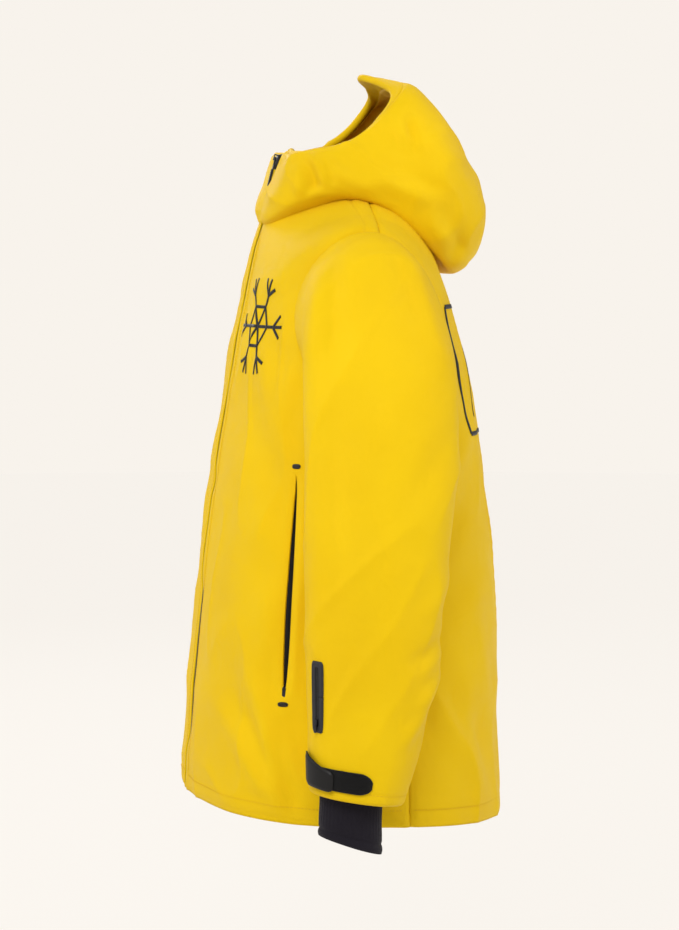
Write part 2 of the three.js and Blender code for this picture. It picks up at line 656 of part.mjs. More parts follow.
// The gaiter is sewn to the lining inside the cuff and narrows to the wrist.
const gaiterStart = 0.9;
function gaiterPanel(u, v) {
  const turn = 2 * Math.PI * u;
  const middleX = (shoulderOuter + 14 + cuffX) / 2;
  const front = lerp(-74, -77, v);
  const back = front + GAITER_DEPTH;
  const y = (front + back) / 2 - ((back - front) / 2) * Math.sin(turn);
  const x = middleX + 26 * Math.cos(turn);
  const low = -SLEEVE_END - GAITER_LENGTH + 4 - 0.33 * (y - (front + back) / 2);
  const free = new THREE.Vector3(x, y, lerp(-SLEEVE_END + 26, low, v));
  const sewn = sleevePanel(u, gaiterStart);
  const [cuffFront, cuffBack] = [0.5, 1.5].map((k) => sleevePoint(k * Math.PI, gaiterStart));
  const inwards = cuffFront.add(cuffBack).multiplyScalar(0.5).sub(sewn);
  inwards.z = 0;
  sewn.addScaledVector(inwards.normalize(), SHELL + PLY_GAP + LINING + 1.5);
  return sewn.lerp(free, smoothstep(v, 0, 0.42));
}

// ---------------------------------------------------------------- cuff tab and forearm pocket
const patchOn = (turn0, turn1, share0, share1, outer, inner, across, along) =>
  wall((u, v) => sleevePanel(lerp(turn0, turn1, u) / 360, lerp(share0, share1, v)), {
    across,
    along,
    outer,
    inner,
  });
// The patch lies on the sleeve, the hook pad on the patch and the tab on the pad.
const [patchLift, padLift, tabLift] = [1.7, 3.1, 4.9];
const loopPatch = () => patchOn(10, 84, 0.917, 0.96, patchLift, REST_GAP, 6, 1);
const hookPad = () => patchOn(48, 80, 0.92, 0.957, padLift, patchLift + REST_GAP, 4, 1);
const cuffTab = () => patchOn(42, 100, 0.905, 0.965, tabLift, padLift + REST_GAP, 6, 1);

const sleevePocketTurn = degToRad(62);
const sleevePocketFrame = (() => {
  const shareAt = (z) => bisect((share) => sleevePoint(sleevePocketTurn, share).z > z, 0.4, 1);
  const centreZ = -SLEEVE_END + 105;
  const half = SLEEVE_POCKET_LENGTH / 2;
  const onSleeve = (z) => sleevePoint(sleevePocketTurn, shareAt(z));
  const [top, bottom] = [centreZ + half, centreZ - half].map(onSleeve);
  const down = bottom.clone().sub(top).normalize();
  const share = shareAt(centreZ);
  const ahead = sleevePoint(sleevePocketTurn + 0.05, share);
  const behind = sleevePoint(sleevePocketTurn - 0.05, share);
  const back = behind.sub(ahead).normalize();
  const out = down.clone().cross(back).normalize();
  back.crossVectors(out, down);
  return { origin: top.clone().add(bottom).multiplyScalar(0.5), back, down, out };
})();
const SLEEVE_SLIT = 5;
const slotLength = SLEEVE_POCKET_LENGTH - 14;
function sleeveSlit() {
  const [w, h] = [SLEEVE_SLIT / 2, slotLength / 2];
  return onFrame(block([-w, -h, -5], [w, h, 7]), sleevePocketFrame);
}
const frameLift = 1.1; // the welded frame lies flat over the sleeve's curve
function sleevePocketWelt() {
  const plate = roundedPlate(SLEEVE_POCKET_WIDTH, SLEEVE_POCKET_LENGTH, 5, 1.6);
  return cut(onFrame(plate, sleevePocketFrame, 0, frameLift), sleeveSlit());
}
function sleevePocketZip() {
  const tape = roundedPlate(SLEEVE_SLIT - 2 * REST_GAP, slotLength - 2 * REST_GAP, 1.2, 1.2);
  const slot = block([-0.6, -slotLength / 2 + 3, -1], [0.6, slotLength / 2 - 3, 3]);
  return onFrame(cut(tape, slot), sleevePocketFrame, 0, 0.4);
}
const sleeveSliderLength = 7;
const sleeveTravel = slotLength - sleeveSliderLength - 8;
function sleevePocketSlider() {
  const h = sleeveSliderLength / 2;
  const front = block([-1.9, -h, 1.6 + REST_GAP], [1.9, h, 3.6]);
  const web = block([-0.3, -h, -0.1], [0.3, h, 1.7 + REST_GAP]);
  const back = block([-1.9, -h, -0.9], [1.9, h, 0]);
  const tab = roundedPlate(4, 9, 1.8, 0.9).translate([0, -6, 3.5]);
  return onFrame(front.add(web).add(back).add(tab), sleevePocketFrame, sleeveTravel / 2, 0);
}

// ---------------------------------------------------------------- the jacket
const jacket = new THREE.Group();
function add(name, solid, material) {
  const mesh = new THREE.Mesh(geometryFrom(solid), material());
  mesh.name = name;
  jacket.add(mesh);
}
function addPair(stem, solid, material) {
  add(`${stem}_left`, solid, material);
  add(`${stem}_right`, mirrored(solid), material);
}

addPair("front_shell", frontShell(), yellow);
addPair("front_lining", frontLining(), orange);
add("back_shell", backWall(0, -SHELL), yellow);
add("back_lining", backWall(-SHELL - PLY_GAP, -SHELL - PLY_GAP - LINING), orange);
addPair("main_zip_tape", zipTape(), black);
add("main_zip_box", zipBox(), black);
add("main_zip_slider", slider(), metal);
add("main_zip_pull", pull(), black);
add("wind_flap", windFlap(), yellow);
add("chin_guard", chinGuard(), navy);
add("collar_shell", collarWall(0, -SHELL, CLOSURE_GAP), yellow);
add("collar_lining", collarWall(-SHELL - PLY_GAP, -SHELL - PLY_GAP - LINING, LINING_GAP), orange);
add("hood_shell", hoodWall(0, -SHELL, 0, 10), yellow);
add("hood_lining", hoodWall(-SHELL - PLY_GAP, -SHELL - PLY_GAP - LINING, 0.4, 6), orange);
add("hanger_loop", hangerLoop(), black);
addPair("hand_pocket_zip", pocketZip(), black);
addPair("hand_pocket_slider", pocketSlider(), metal);
addPair("hand_pocket_bag", pocketBag(), navy);
addPair("hand_pocket_top_tack", bartack(tackTop), black);
addPair("hand_pocket_bottom_tack", bartack(tackBottom), black);
add("snow_skirt", skirtWall(0, 1, 0, SKIRT), navy);
add("snow_skirt_gripper", skirtWall(0, 0.2, SKIRT + REST_GAP, 1.2), black);

const sleeveShell = sleeveWall(0, -SHELL);
const sleeveLining = sleeveWall(
  (u, v) => -SHELL - PLY_GAP - sleevePocketRoom(u, v),
  (u, v) => -SHELL - PLY_GAP - LINING - sleevePocketRoom(u, v),
);
add("sleeve_shell_left", cut(sleeveShell, sleeveSlit()), yellow);
add("sleeve_shell_right", mirrored(sleeveShell), yellow);
addPair("sleeve_lining", sleeveLining, orange);
const wristGaiter = wall(gaiterPanel, { across: 14, along: 5, outer: 0, inner: -1.8, round: true });
addPair("wrist_gaiter", wristGaiter, navy);
addPair("cuff_loop_patch", loopPatch(), black);
addPair("cuff_tab", cuffTab(), black);
addPair("cuff_hook_pad", hookPad(), black);
add("sleeve_pocket_welt", sleevePocketWelt(), black);
add("sleeve_pocket_zip", sleevePocketZip(), metal);
add("sleeve_pocket_slider", sleevePocketSlider(), metal);

export default jacket;
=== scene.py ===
"""An insulated ski jacket, zipped up on its own shape, with its hood half raised behind the neck."""

import math

import bpy
import numpy as np
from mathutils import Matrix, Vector, noise

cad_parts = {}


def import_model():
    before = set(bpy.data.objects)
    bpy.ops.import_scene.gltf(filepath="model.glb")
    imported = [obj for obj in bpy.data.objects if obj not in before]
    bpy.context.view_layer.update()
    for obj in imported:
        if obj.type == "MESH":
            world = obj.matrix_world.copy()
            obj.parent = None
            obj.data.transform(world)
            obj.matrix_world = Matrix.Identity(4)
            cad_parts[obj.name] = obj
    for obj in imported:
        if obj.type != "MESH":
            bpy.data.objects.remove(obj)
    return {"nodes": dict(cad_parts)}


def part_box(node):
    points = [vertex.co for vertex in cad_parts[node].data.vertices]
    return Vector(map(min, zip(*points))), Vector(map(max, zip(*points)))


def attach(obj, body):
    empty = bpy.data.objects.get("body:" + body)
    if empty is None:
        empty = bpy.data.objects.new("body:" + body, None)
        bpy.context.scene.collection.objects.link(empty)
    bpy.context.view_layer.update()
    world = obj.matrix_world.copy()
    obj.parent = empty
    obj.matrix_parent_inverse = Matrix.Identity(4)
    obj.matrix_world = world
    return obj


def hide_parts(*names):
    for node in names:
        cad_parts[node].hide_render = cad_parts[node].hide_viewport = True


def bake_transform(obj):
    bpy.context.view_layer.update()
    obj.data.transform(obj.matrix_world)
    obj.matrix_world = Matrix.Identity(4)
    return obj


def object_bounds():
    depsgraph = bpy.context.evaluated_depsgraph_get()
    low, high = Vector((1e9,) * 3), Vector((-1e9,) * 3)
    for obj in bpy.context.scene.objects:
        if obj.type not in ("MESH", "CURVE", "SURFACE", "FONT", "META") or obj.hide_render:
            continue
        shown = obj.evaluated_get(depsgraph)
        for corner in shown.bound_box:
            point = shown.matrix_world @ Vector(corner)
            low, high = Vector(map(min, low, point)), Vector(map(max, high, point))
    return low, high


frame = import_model()
cad_low, cad_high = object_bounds()

# ---------------------------------------------------------------- camera
# The jacket is seen from the wearer's left, a little towards the front and slightly from above.
CAMERA_AZIMUTH = 80
CAMERA_ELEVATION = 4
CAMERA_DISTANCE = 3.4
CAMERA_LENS = 113.46
camera_aim = Vector((0, 0, -0.307))


def towards(azimuth, elevation):
    """The way out from the jacket, in degrees round from the front to the left and up."""
    a, e = math.radians(azimuth), math.radians(elevation)
    return Vector((math.sin(a) * math.cos(e), -math.cos(a) * math.cos(e), math.sin(e)))


away = towards(CAMERA_AZIMUTH, CAMERA_ELEVATION)
bpy.ops.object.camera_add(location=camera_aim + away * CAMERA_DISTANCE)
camera = bpy.context.object
camera.rotation_euler = (-away).to_track_quat("-Z", "Y").to_euler()
camera.data.lens = CAMERA_LENS
bpy.context.scene.camera = camera

# ---------------------------------------------------------------- studio
# A plain pale floor well below the hem, pale air all round, one large soft light beside the camera,
# a weak one from the front that grazes the chest, one from behind and one from the far side.
FLOOR_DROP = 0.26
FLOOR_RADIUS = 9
FLOOR_GLOW = 0.938
STUDIO_PALE = (0.939, 0.896, 0.838, 1)
AMBIENT = 0.45
scene = bpy.context.scene
scene.view_settings.view_transform = "Standard"

world = bpy.data.worlds.new("studio_air")
scene.world = world
world.use_nodes = True
air = world.node_tree
air.nodes.clear()
seen = air.nodes.new("ShaderNodeBackground")
seen.inputs["Color"].default_value = STUDIO_PALE
lit = air.nodes.new("ShaderNodeBackground")
lit.inputs["Color"].default_value = (1, 0.985, 0.96, 1)
lit.inputs["Strength"].default_value = AMBIENT
chooser = air.nodes.new("ShaderNodeMixShader")
path = air.nodes.new("ShaderNodeLightPath")
sky = air.nodes.new("ShaderNodeOutputWorld")
air.links.new(path.outputs["Is Camera Ray"], chooser.inputs["Fac"])
air.links.new(lit.outputs[0], chooser.inputs[1])
air.links.new(seen.outputs[0], chooser.inputs[2])
air.links.new(chooser.outputs[0], sky.inputs["Surface"])


def new_material(name):
    """An empty material, its node tree and its shader."""
    material = bpy.data.materials.new(name)
    material.use_nodes = True
    return material, material.node_tree, material.node_tree.nodes["Principled BSDF"]


bpy.ops.mesh.primitive_circle_add(
    vertices=96, radius=FLOOR_RADIUS, fill_type="NGON", location=(0, 0, cad_low.z - FLOOR_DROP)
)
floor = bpy.context.object
floor.name = "floor"
pale, _, pale_shader = new_material("pale_floor")
pale_shader.inputs["Base Color"].default_value = (0.03, 0.03, 0.03, 1)
pale_shader.inputs["Roughness"].default_value = 0.9
pale_shader.inputs["Emission Color"].default_value = STUDIO_PALE
pale_shader.inputs["Emission Strength"].default_value = FLOOR_GLOW
floor.data.materials.append(pale)


def softbox(name, azimuth, elevation, distance, size, watts):
    """A square soft light that faces the middle of the jacket."""
    out = towards(azimuth, elevation)
    bpy.ops.object.light_add(type="AREA", location=camera_aim + out * distance)
    light = bpy.context.object
    light.name = name
    light.rotation_euler = (-out).to_track_quat("-Z", "Y").to_euler()
    light.data.size = size
    light.data.energy = watts
    return light


softbox("key_light", 64, 38, 3.2, 1.8, 62)
softbox("front_light", -12, 22, 3.4, 1.4, 21)
softbox("back_light", 165, 28, 3.4, 1.6, 34)
softbox("right_light", 275, 25, 3.4, 1.8, 34)

# ---------------------------------------------------------------- fronts and back of the body
# The outer body is three insulated panels of coated fabric, two fronts and a back, sewn together at
# the sides and along the shoulders. The body's rows and the closure's arc give their shape.
left_front_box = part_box("front_shell_left")
back_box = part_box("back_shell")
BODY_LENGTH = -back_box[0].z
BACK_DEPTH = back_box[1].y
HEM_HALF = left_front_box[1].x
HEM_RISE = 0.024
CHEST_HALF = 0.216
SHOULDER_HALF = 0.210
SHOULDER_DROP = 0.038
NECK_HALF = 0.098
NECK_BACK = 0.095
NECK_FRONT_DROP = 0.028
NECK_BACK_DROP = 0.018
ARMPIT_DROP = 0.235
FRONT_DEPTH = 0.185
CLOSURE_RADIUS = 3.8
CLOSURE_DROP = 0.870
CLOSURE_GAP = 0.0138
SIDE_SEAM = math.radians(100)
WALL = 0.002
FRONT_WIDTH = HEM_HALF * 1.95
BACK_WIDTH = HEM_HALF * 2.05
BACK_SEED = 3.0
SIDES = ((1, "left"), (-1, "right"))
FRONTS = ((1, "left", 1.0), (-1, "right", 5.0))


def mix(a, b, share):
    return a + (b - a) * share


def smooth(value, low, high):
    """0 below low, 1 above high and a soft step between."""
    share = np.clip((value - low) / (high - low), 0, 1)
    return share * share * (3 - 2 * share)


def power(value, exponent):
    return np.sign(value) * np.abs(value) ** exponent


def through(rows, t, *across):
    """The smooth curve through rows at equal steps, for t from 0 to 1. Across picks within a row."""
    rows = np.asarray(rows, float)
    last = len(rows) - 1
    place = np.clip(t, 0, 1) * last
    i = np.minimum(place.astype(int), last - 1)
    f = (place - i)[..., None]
    a, b, c, d = (rows[(np.clip(i + k, 0, last), *across)] for k in (-1, 0, 1, 2))
    bend = (2 * a - 5 * b + 4 * c - d) * f * f + (3 * b - a - 3 * c + d) * f**3
    return 0.5 * (2 * b + (c - a) * f + bend)


def halved(test, low, high):
    """Where test, an array of truths, turns false between low and high."""
    low, high = np.array(low, float), np.array(high, float)
    for _ in range(24):
        middle = (low + high) / 2
        below = test(middle)
        low, high = np.where(below, middle, low), np.where(below, high, middle)
    return (low + high) / 2


arc_y, arc_z = CLOSURE_RADIUS - FRONT_DEPTH, -CLOSURE_DROP


def front_line(z):
    """How far forward the closure lies at a height."""
    return arc_y - CLOSURE_RADIUS * np.cos(np.arcsin((z - arc_z) / CLOSURE_RADIUS))


hip = mix(-ARMPIT_DROP, -BODY_LENGTH, 0.7)
waist = mix(-ARMPIT_DROP, -BODY_LENGTH, 0.36)
shoulder_z = -0.6 * ARMPIT_DROP
chest_back = BACK_DEPTH - 0.031
hem_front = HEM_RISE - BODY_LENGTH
# Each row from hem to neck: front height, half width, side depth and height, back depth and height,
# and squareness of the outline.
BODY_ROWS = [
    (hem_front, HEM_HALF, 0, 0.014 - BODY_LENGTH, BACK_DEPTH, -BODY_LENGTH, 2.35),
    (hip + 0.008, HEM_HALF, 0, hip + 0.004, BACK_DEPTH - 0.004, hip, 2.35),
    (waist, mix(HEM_HALF, CHEST_HALF, 0.5), 0, waist, BACK_DEPTH - 0.011, waist, 2.35),
    (-ARMPIT_DROP, CHEST_HALF, -0.005, -ARMPIT_DROP, chest_back, -ARMPIT_DROP, 2.3),
    (
        shoulder_z,
        mix(CHEST_HALF, SHOULDER_HALF, 0.35),
        -0.008,
        shoulder_z,
        chest_back - 0.021,
        shoulder_z,
        2.2,
    ),
    (
        -SHOULDER_DROP - 0.047,
        SHOULDER_HALF,
        -0.013,
        -SHOULDER_DROP - 0.004,
        mix(chest_back, NECK_BACK, 0.66),
        -SHOULDER_DROP - 0.062,
        2.1,
    ),
    (
        -NECK_FRONT_DROP - 0.022,
        mix(SHOULDER_HALF, NECK_HALF, 0.46),
        -0.007,
        -0.46 * SHOULDER_DROP,
        mix(chest_back, NECK_BACK, 0.84),
        -SHOULDER_DROP - 0.024,
        2,
    ),
    (-NECK_FRONT_DROP, NECK_HALF, 0, 0, NECK_BACK, -NECK_BACK_DROP, 2),
]


def body_row(level):
    """The numbers of the body's row at a level from hem to neck."""
    return np.moveaxis(through(BODY_ROWS, level), -1, 0)


def body_point(angle, level):
    """A point of the body at an angle from the front centre towards the left, from hem to neck."""
    front_z, half, side_y, side_z, back_y, back_z, squareness = body_row(level)
    e = 2 / squareness
    s, c = np.sin(angle), np.cos(angle)
    end_y = np.where(c > 0, front_line(front_z), back_y)
    end_z = np.where(c > 0, front_z, back_z)
    y = mix(side_y, end_y, np.abs(c) ** e)
    z = mix(side_z, end_z, np.abs(c) ** 1.4)
    return np.stack([half * power(s, e), y, z], -1)


def level_at(angle, z):
    """The level at which the body reaches a height on an angle."""
    z = np.broadcast_to(z, np.shape(angle))
    return halved(lambda level: body_point(angle, level)[..., 2] < z, 0 * angle, 0 * angle + 1)


def edge_angle(x, level):
    """The angle at which the front of the body lies x out from the middle."""
    row = body_row(level)
    return np.arcsin((x / row[1]) ** (row[6] / 2))


def outward(place, u, v, step=1e-3):
    """The unit normal of the surface place(u, v)."""
    along_u = place(u + step, v) - place(u - step, v)
    along_v = place(u, np.minimum(v + step, 1)) - place(u, np.maximum(v - step, 0))
    normal = np.cross(along_u, along_v)
    return normal / np.maximum(np.linalg.norm(normal, axis=-1, keepdims=True), 1e-12)


def raised(place, height):
    """The surface place(u, v), moved out along its normal by height(points, u, v)."""

    def lifted(u, v):
        points = place(u, v)
        return points + outward(place, u, v) * height(points, u, v)[..., None]

    return lifted


def sided(place, side, swapped=False):
    """The left side's place, or its mirror image. One side's u is turned round, so both face out."""
    turned = (side > 0) == swapped

    def mirrored(u, v):
        return place(1 - u if turned else u, v) * np.array([side, 1, 1])

    return mirrored


def folds(points, ridges):
    """Height of soft folds, each a ridge with a hollow beside it between two places in side view."""
    height = np.zeros(len(points))
    side = points[:, 1:]
    for y0, z0, y1, z1, width, rise in ridges:
        start, run = np.array([y0, z0]), np.array([y1 - y0, z1 - z0])
        length = math.hypot(*run)
        along = (side - start) @ run / length**2
        across = (side - start) @ np.array([-run[1], run[0]]) / length
        taper = smooth(along, -0.15, 0.3) * (1 - smooth(along, 0.7, 1.15))
        ridge = np.exp(-((across / width) ** 2))
        hollow = np.exp(-(((across - 1.6 * width) / width) ** 2))
        height += rise * taper * (ridge - 0.6 * hollow)
    return height


def ripple(points, size, depth, seed):
    """Slow uneven swelling of the cloth, with hollows size apart."""
    shift = Vector((seed * 3.7, seed * 1.3, seed * 7.1))
    return depth * np.array([noise.noise(Vector(p) / size + shift) for p in points])


def creases(points, size, stretch, depth, seed):
    """Narrow soft ridges where the cloth buckles, drawn out by the stretch along each axis."""
    shift = Vector((seed * 2.3, seed * 5.1, seed * 1.9))
    spots = points / (np.array(stretch) * size)
    swirl = np.array([noise.noise(Vector(p) + shift) for p in spots])
    return depth * ((1 - np.minimum(np.abs(swirl) * 2.2, 1)) ** 3 - 0.25)


def groove(distance, depth, width):
    """The valley that a seam pulls into padded cloth, at a distance from it."""
    return -depth * np.exp(-((distance / width) ** 2))


def deselect():
    bpy.ops.object.select_all(action="DESELECT")


def cloth(name, across, along, place, size, closed=False):
    """A grid of cloth laid on place(u, v). Its UV map is in metres of cloth, size wide and long."""
    deselect()
    bpy.ops.mesh.primitive_grid_add(x_subdivisions=across, y_subdivisions=along, size=1)
    panel = bpy.context.object
    panel.name = panel.data.name = name
    points = np.empty(len(panel.data.vertices) * 3)
    panel.data.vertices.foreach_get("co", points)
    flat = points.reshape(-1, 3) + 0.5
    laid = place(flat[:, 0], flat[:, 1])
    panel.data.vertices.foreach_set("co", laid.astype(np.float32).ravel())
    layer = panel.data.uv_layers.active.uv
    spots = np.empty(len(layer) * 2)
    layer.foreach_get("vector", spots)
    layer.foreach_set("vector", (spots.reshape(-1, 2) * size).astype(np.float32).ravel())
    if closed:
        in_edit(lambda: bpy.ops.mesh.remove_doubles(threshold=1e-5))
    bpy.ops.object.shade_smooth()
    return panel


def in_edit(action):
    """Runs an operator on the whole of the selected piece."""
    bpy.ops.object.mode_set(mode="EDIT")
    bpy.ops.mesh.select_all(action="SELECT")
    action()
    bpy.ops.object.mode_set(mode="OBJECT")


def only(piece):
    deselect()
    piece.select_set(True)
    bpy.context.view_layer.objects.active = piece


def finished(piece, kind, **settings):
    """Adds a modifier with its settings and applies it."""
    only(piece)
    modifier = piece.modifiers.new(kind.lower(), kind)
    for key, value in settings.items():
        setattr(modifier, key, value)
    bpy.ops.object.modifier_apply(modifier=modifier.name)
    return piece


def walled(piece, thickness, offset=-1.0):
    """Gives a sheet its thickness, inwards from the laid surface unless the offset is 1."""
    return finished(piece, "SOLIDIFY", thickness=thickness, offset=offset, use_rim=True)


def worn(piece, body, slot, material, *nodes):
    """The piece's material, body and the nodes that it stands for. The slot is not used."""
    piece.data.materials.clear()
    piece.data.materials.append(material)
    if body:
        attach(piece, body)
    if nodes:
        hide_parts(*nodes)
    return piece


# -- shader groups for cloth
def shader_group(name, inputs, outputs):
    """An empty group with named value sockets and its two end nodes."""
    group = bpy.data.node_groups.new(name, "ShaderNodeTree")
    for label, kind, value in inputs:
        socket = group.interface.new_socket(label, in_out="INPUT", socket_type=kind)
        if value is not None:
            socket.default_value = value
    for label, kind in outputs:
        group.interface.new_socket(label, in_out="OUTPUT", socket_type=kind)
    start = group.nodes.new("NodeGroupInput")
    end = group.nodes.new("NodeGroupOutput")
    return group, start, end


def node(tree, kind, settings=None, **links):
    """A shader node whose inputs are links or plain values."""
    made = tree.nodes.new(kind)
    for key, value in (settings or {}).items():
        setattr(made, key, value)
    for key, value in links.items():
        target = made.inputs[int(key[1:])] if key[0] == "i" and key[1:].isdigit() else made.inputs[key]
        if isinstance(value, bpy.types.NodeSocket):
            tree.links.new(value, target)
        else:
            target.default_value = value
    return made


def maths(tree, operation, first, second=0.0, third=0.0):
    made = node(tree, "ShaderNodeMath", {"operation": operation}, i0=first, i1=second, i2=third)
    return made.outputs[0]


def mapped(tree, value, low, high, start=0.3, end=0.7):
    """The value from start to end, turned into low to high."""
    made = node(tree, "ShaderNodeMapRange", Value=value, i1=start, i2=end, i3=low, i4=high)
    return made.outputs[0]


def mixed(tree, share, first, second, blend_type="MIX"):
    """Two colours, blended by a share."""
    kind = {"data_type": "RGBA", "blend_type": blend_type}
    return node(tree, "ShaderNodeMix", kind, Factor=share, i6=first, i7=second).outputs[2]


# Plain weave: threads over and under each other, from the piece's own UV map in metres.
weave, weave_in, weave_out = shader_group(
    "plain_weave",
    [("UV", "NodeSocketVector", None), ("Threads", "NodeSocketFloat", 1800.0)],
    [("Height", "NodeSocketFloat")],
)
scaled = node(
    weave,
    "ShaderNodeVectorMath",
    {"operation": "SCALE"},
    Vector=weave_in.outputs["UV"],
    Scale=weave_in.outputs["Threads"],
).outputs[0]
parts = node(weave, "ShaderNodeSeparateXYZ", i0=scaled)
warp = maths(weave, "SINE", maths(weave, "MULTIPLY", parts.outputs[0], math.tau))
weft = maths(weave, "SINE", maths(weave, "MULTIPLY", parts.outputs[1], math.tau))
crossing = maths(weave, "MULTIPLY", warp, weft)
weave.links.new(maths(weave, "MULTIPLY_ADD", crossing, 0.5, 0.5), weave_out.inputs["Height"])

# Crinkle: the fine unevenness of coated cloth, from fine grain to hand-sized waves.
crinkle, crinkle_in, crinkle_out = shader_group(
    "cloth_crinkle",
    [("Point", "NodeSocketVector", None), ("Size", "NodeSocketFloat", 40.0)],
    [("Height", "NodeSocketFloat"), ("Patch", "NodeSocketFloat")],
)
waves = node(
    crinkle,
    "ShaderNodeTexNoise",
    Vector=crinkle_in.outputs["Point"],
    Scale=crinkle_in.outputs["Size"],
    Detail=5.0,
    Roughness=0.45,
    Distortion=0.6,
)
patches = node(crinkle, "ShaderNodeTexNoise", Vector=crinkle_in.outputs["Point"], Scale=7.0, Detail=2.0)
crinkle.links.new(waves.outputs[0], crinkle_out.inputs["Height"])
crinkle.links.new(patches.outputs[0], crinkle_out.inputs["Patch"])


def cloth_material(
    name,
    light,
    deep,
    roughness,
    threads=1800.0,
    weave_depth=0.00012,
    wave_size=40.0,
    wave_depth=0.0012,
    sheen=0.1,
    gloss=0.3,
):
    """Woven cloth: two near colours in patches, a weave and a crinkle in its bump, and some sheen. The
    weave also paints shade into the colour, darker in its dips and lighter at its crossings.
    """
    material, tree, shader = new_material(name)
    uv = node(tree, "ShaderNodeUVMap").outputs[0]
    place = node(tree, "ShaderNodeTexCoord").outputs["Object"]
    woven = node(tree, "ShaderNodeGroup", {"node_tree": weave}, UV=uv, Threads=threads)
    uneven = node(tree, "ShaderNodeGroup", {"node_tree": crinkle}, Point=place, Size=wave_size)
    patch = mapped(tree, uneven.outputs["Patch"], 0.0, 1.0)
    colour = mixed(tree, patch, (*light, 1), (*deep, 1))
    # Painted shade of the weave: the base colour is darkened where the threads dip and lightened where they
    # cross.
    painted_thread_shade = mapped(tree, woven.outputs["Height"], 0.93, 1.03, 0.0, 1.0)
    shaded = mixed(tree, 1.0, colour, painted_thread_shade, "MULTIPLY")
    tree.links.new(shaded, shader.inputs["Base Color"])
    rough = mapped(tree, uneven.outputs["Height"], roughness - 0.04, roughness + 0.05)
    tree.links.new(rough, shader.inputs["Roughness"])
    coarse = node(tree, "ShaderNodeBump", Height=uneven.outputs["Height"], Distance=wave_depth)
    over = coarse.outputs[0]
    fine = node(tree, "ShaderNodeBump", Height=woven.outputs["Height"], Distance=weave_depth, Normal=over)
    tree.links.new(fine.outputs[0], shader.inputs["Normal"])
    shader.inputs["Sheen Weight"].default_value = sheen
    shader.inputs["Sheen Roughness"].default_value = 0.4
    shader.inputs["Specular IOR Level"].default_value = gloss
    return material


yellow_cloth = cloth_material(
    "yellow_shell_cloth", (0.89, 0.585, 0.0012), (0.84, 0.535, 0.0010), 0.55, sheen=0.02, gloss=0.11
)

# The folds of the left half, in side view: from y, z to y, z, then width and rise. The right half
# has the same ones.
BODY_RIDGES = [
    (-0.160, -0.560, -0.108, -0.668, 0.010, 0.0056),
    (-0.128, -0.520, -0.088, -0.640, 0.012, 0.0050),
    (-0.150, -0.500, -0.140, -0.610, 0.014, -0.0044),
    (-0.118, -0.575, -0.100, -0.675, 0.008, 0.0050),
    (-0.098, -0.425, -0.118, -0.520, 0.016, 0.0040),
    (-0.066, -0.080, -0.092, -0.200, 0.009, -0.0056),
    (-0.060, -0.052, -0.100, -0.110, 0.010, 0.0046),
    (-0.084, -0.110, -0.088, -0.235, 0.007, 0.0046),
    (-0.112, -0.150, -0.096, -0.290, 0.010, 0.0040),
    (-0.134, -0.260, -0.104, -0.400, 0.014, 0.0036),
    (0.052, -0.100, 0.110, -0.250, 0.011, 0.0054),
    (0.080, -0.330, 0.130, -0.250, 0.013, 0.0046),
    (0.050, -0.420, 0.120, -0.330, 0.014, -0.0042),
    (0.055, -0.540, 0.125, -0.640, 0.016, 0.0048),
    (0.095, -0.470, 0.150, -0.420, 0.018, 0.0034),
    (0.110, -0.560, 0.140, -0.690, 0.012, 0.0036),
]
ARMHOLE_Y = -0.005
ARMHOLE_Z = -0.1365
ARMHOLE_DEEP = 0.072
ARMHOLE_HIGH = 0.0945
HEM_STITCH = 0.022
body_height = BODY_LENGTH + 0.03


def armhole_distance(points):
    """Roughly how far a point of the body's side is from the armhole's seam."""
    y = (points[:, 1] - ARMHOLE_Y) / ARMHOLE_DEEP
    z = (points[:, 2] - ARMHOLE_Z) / ARMHOLE_HIGH
    away_from = (np.hypot(y, z) - 1) * (ARMHOLE_DEEP + ARMHOLE_HIGH) / 2
    return np.where(np.abs(points[:, 0]) > 0.14, away_from, 1.0)


POCKET_TURN = math.radians(59)
POCKET_TOP = 0.300
POCKET_BOTTOM = 0.550
SLIT_HALF = 0.0036
SLIT_END = 0.005
# Stretches of the closure, by height, where the front's edge lies low and the zip shows.
LOW_LIPS = [(-0.345, -0.300), (-0.640, -0.425)]


def pocket_end(drop):
    turn = np.array([POCKET_TURN])
    return body_point(turn, level_at(turn, -drop))[0]


pocket_top, pocket_bottom = pocket_end(POCKET_TOP), pocket_end(POCKET_BOTTOM)
pocket_run = pocket_bottom - pocket_top
pocket_length = float(np.linalg.norm(pocket_run))


def pocket_distance(points):
    """How far points are from a hand pocket's line, how far behind it and how far along it."""
    left = np.abs(points) * [1, 0, 0] + points * [0, 1, 1]
    share = (left - pocket_top) @ pocket_run / pocket_length**2
    nearest = pocket_top + np.clip(share, 0, 1)[:, None] * pocket_run
    gap = np.linalg.norm(left - nearest, axis=1)
    return gap, np.where(left[:, 1] > nearest[:, 1], gap, -gap), share


def pocket_relief(points):
    """The hand pocket's lips, pressed in along its line, with the welt standing behind it."""
    gap, behind, share = pocket_distance(points)
    ends = smooth(share, -0.02, 0.10) * (1 - smooth(share, 0.90, 1.02))
    lips = groove(gap, 0.0026, 0.0055) + 0.0022 * np.exp(-(((behind - 0.012) / 0.006) ** 2))
    return np.where(points[:, 1] < 0.02, lips * ends, 0)


def lip_drop(points):
    """How much lower the front's edge lies along the low stretches of the closure."""
    z = points[:, 2]
    low = sum(smooth(z, a, a + 0.03) * (1 - smooth(z, b - 0.03, b)) for a, b in LOW_LIPS)
    return np.where(points[:, 0] > 0, 0.0036, 0.0012) * low


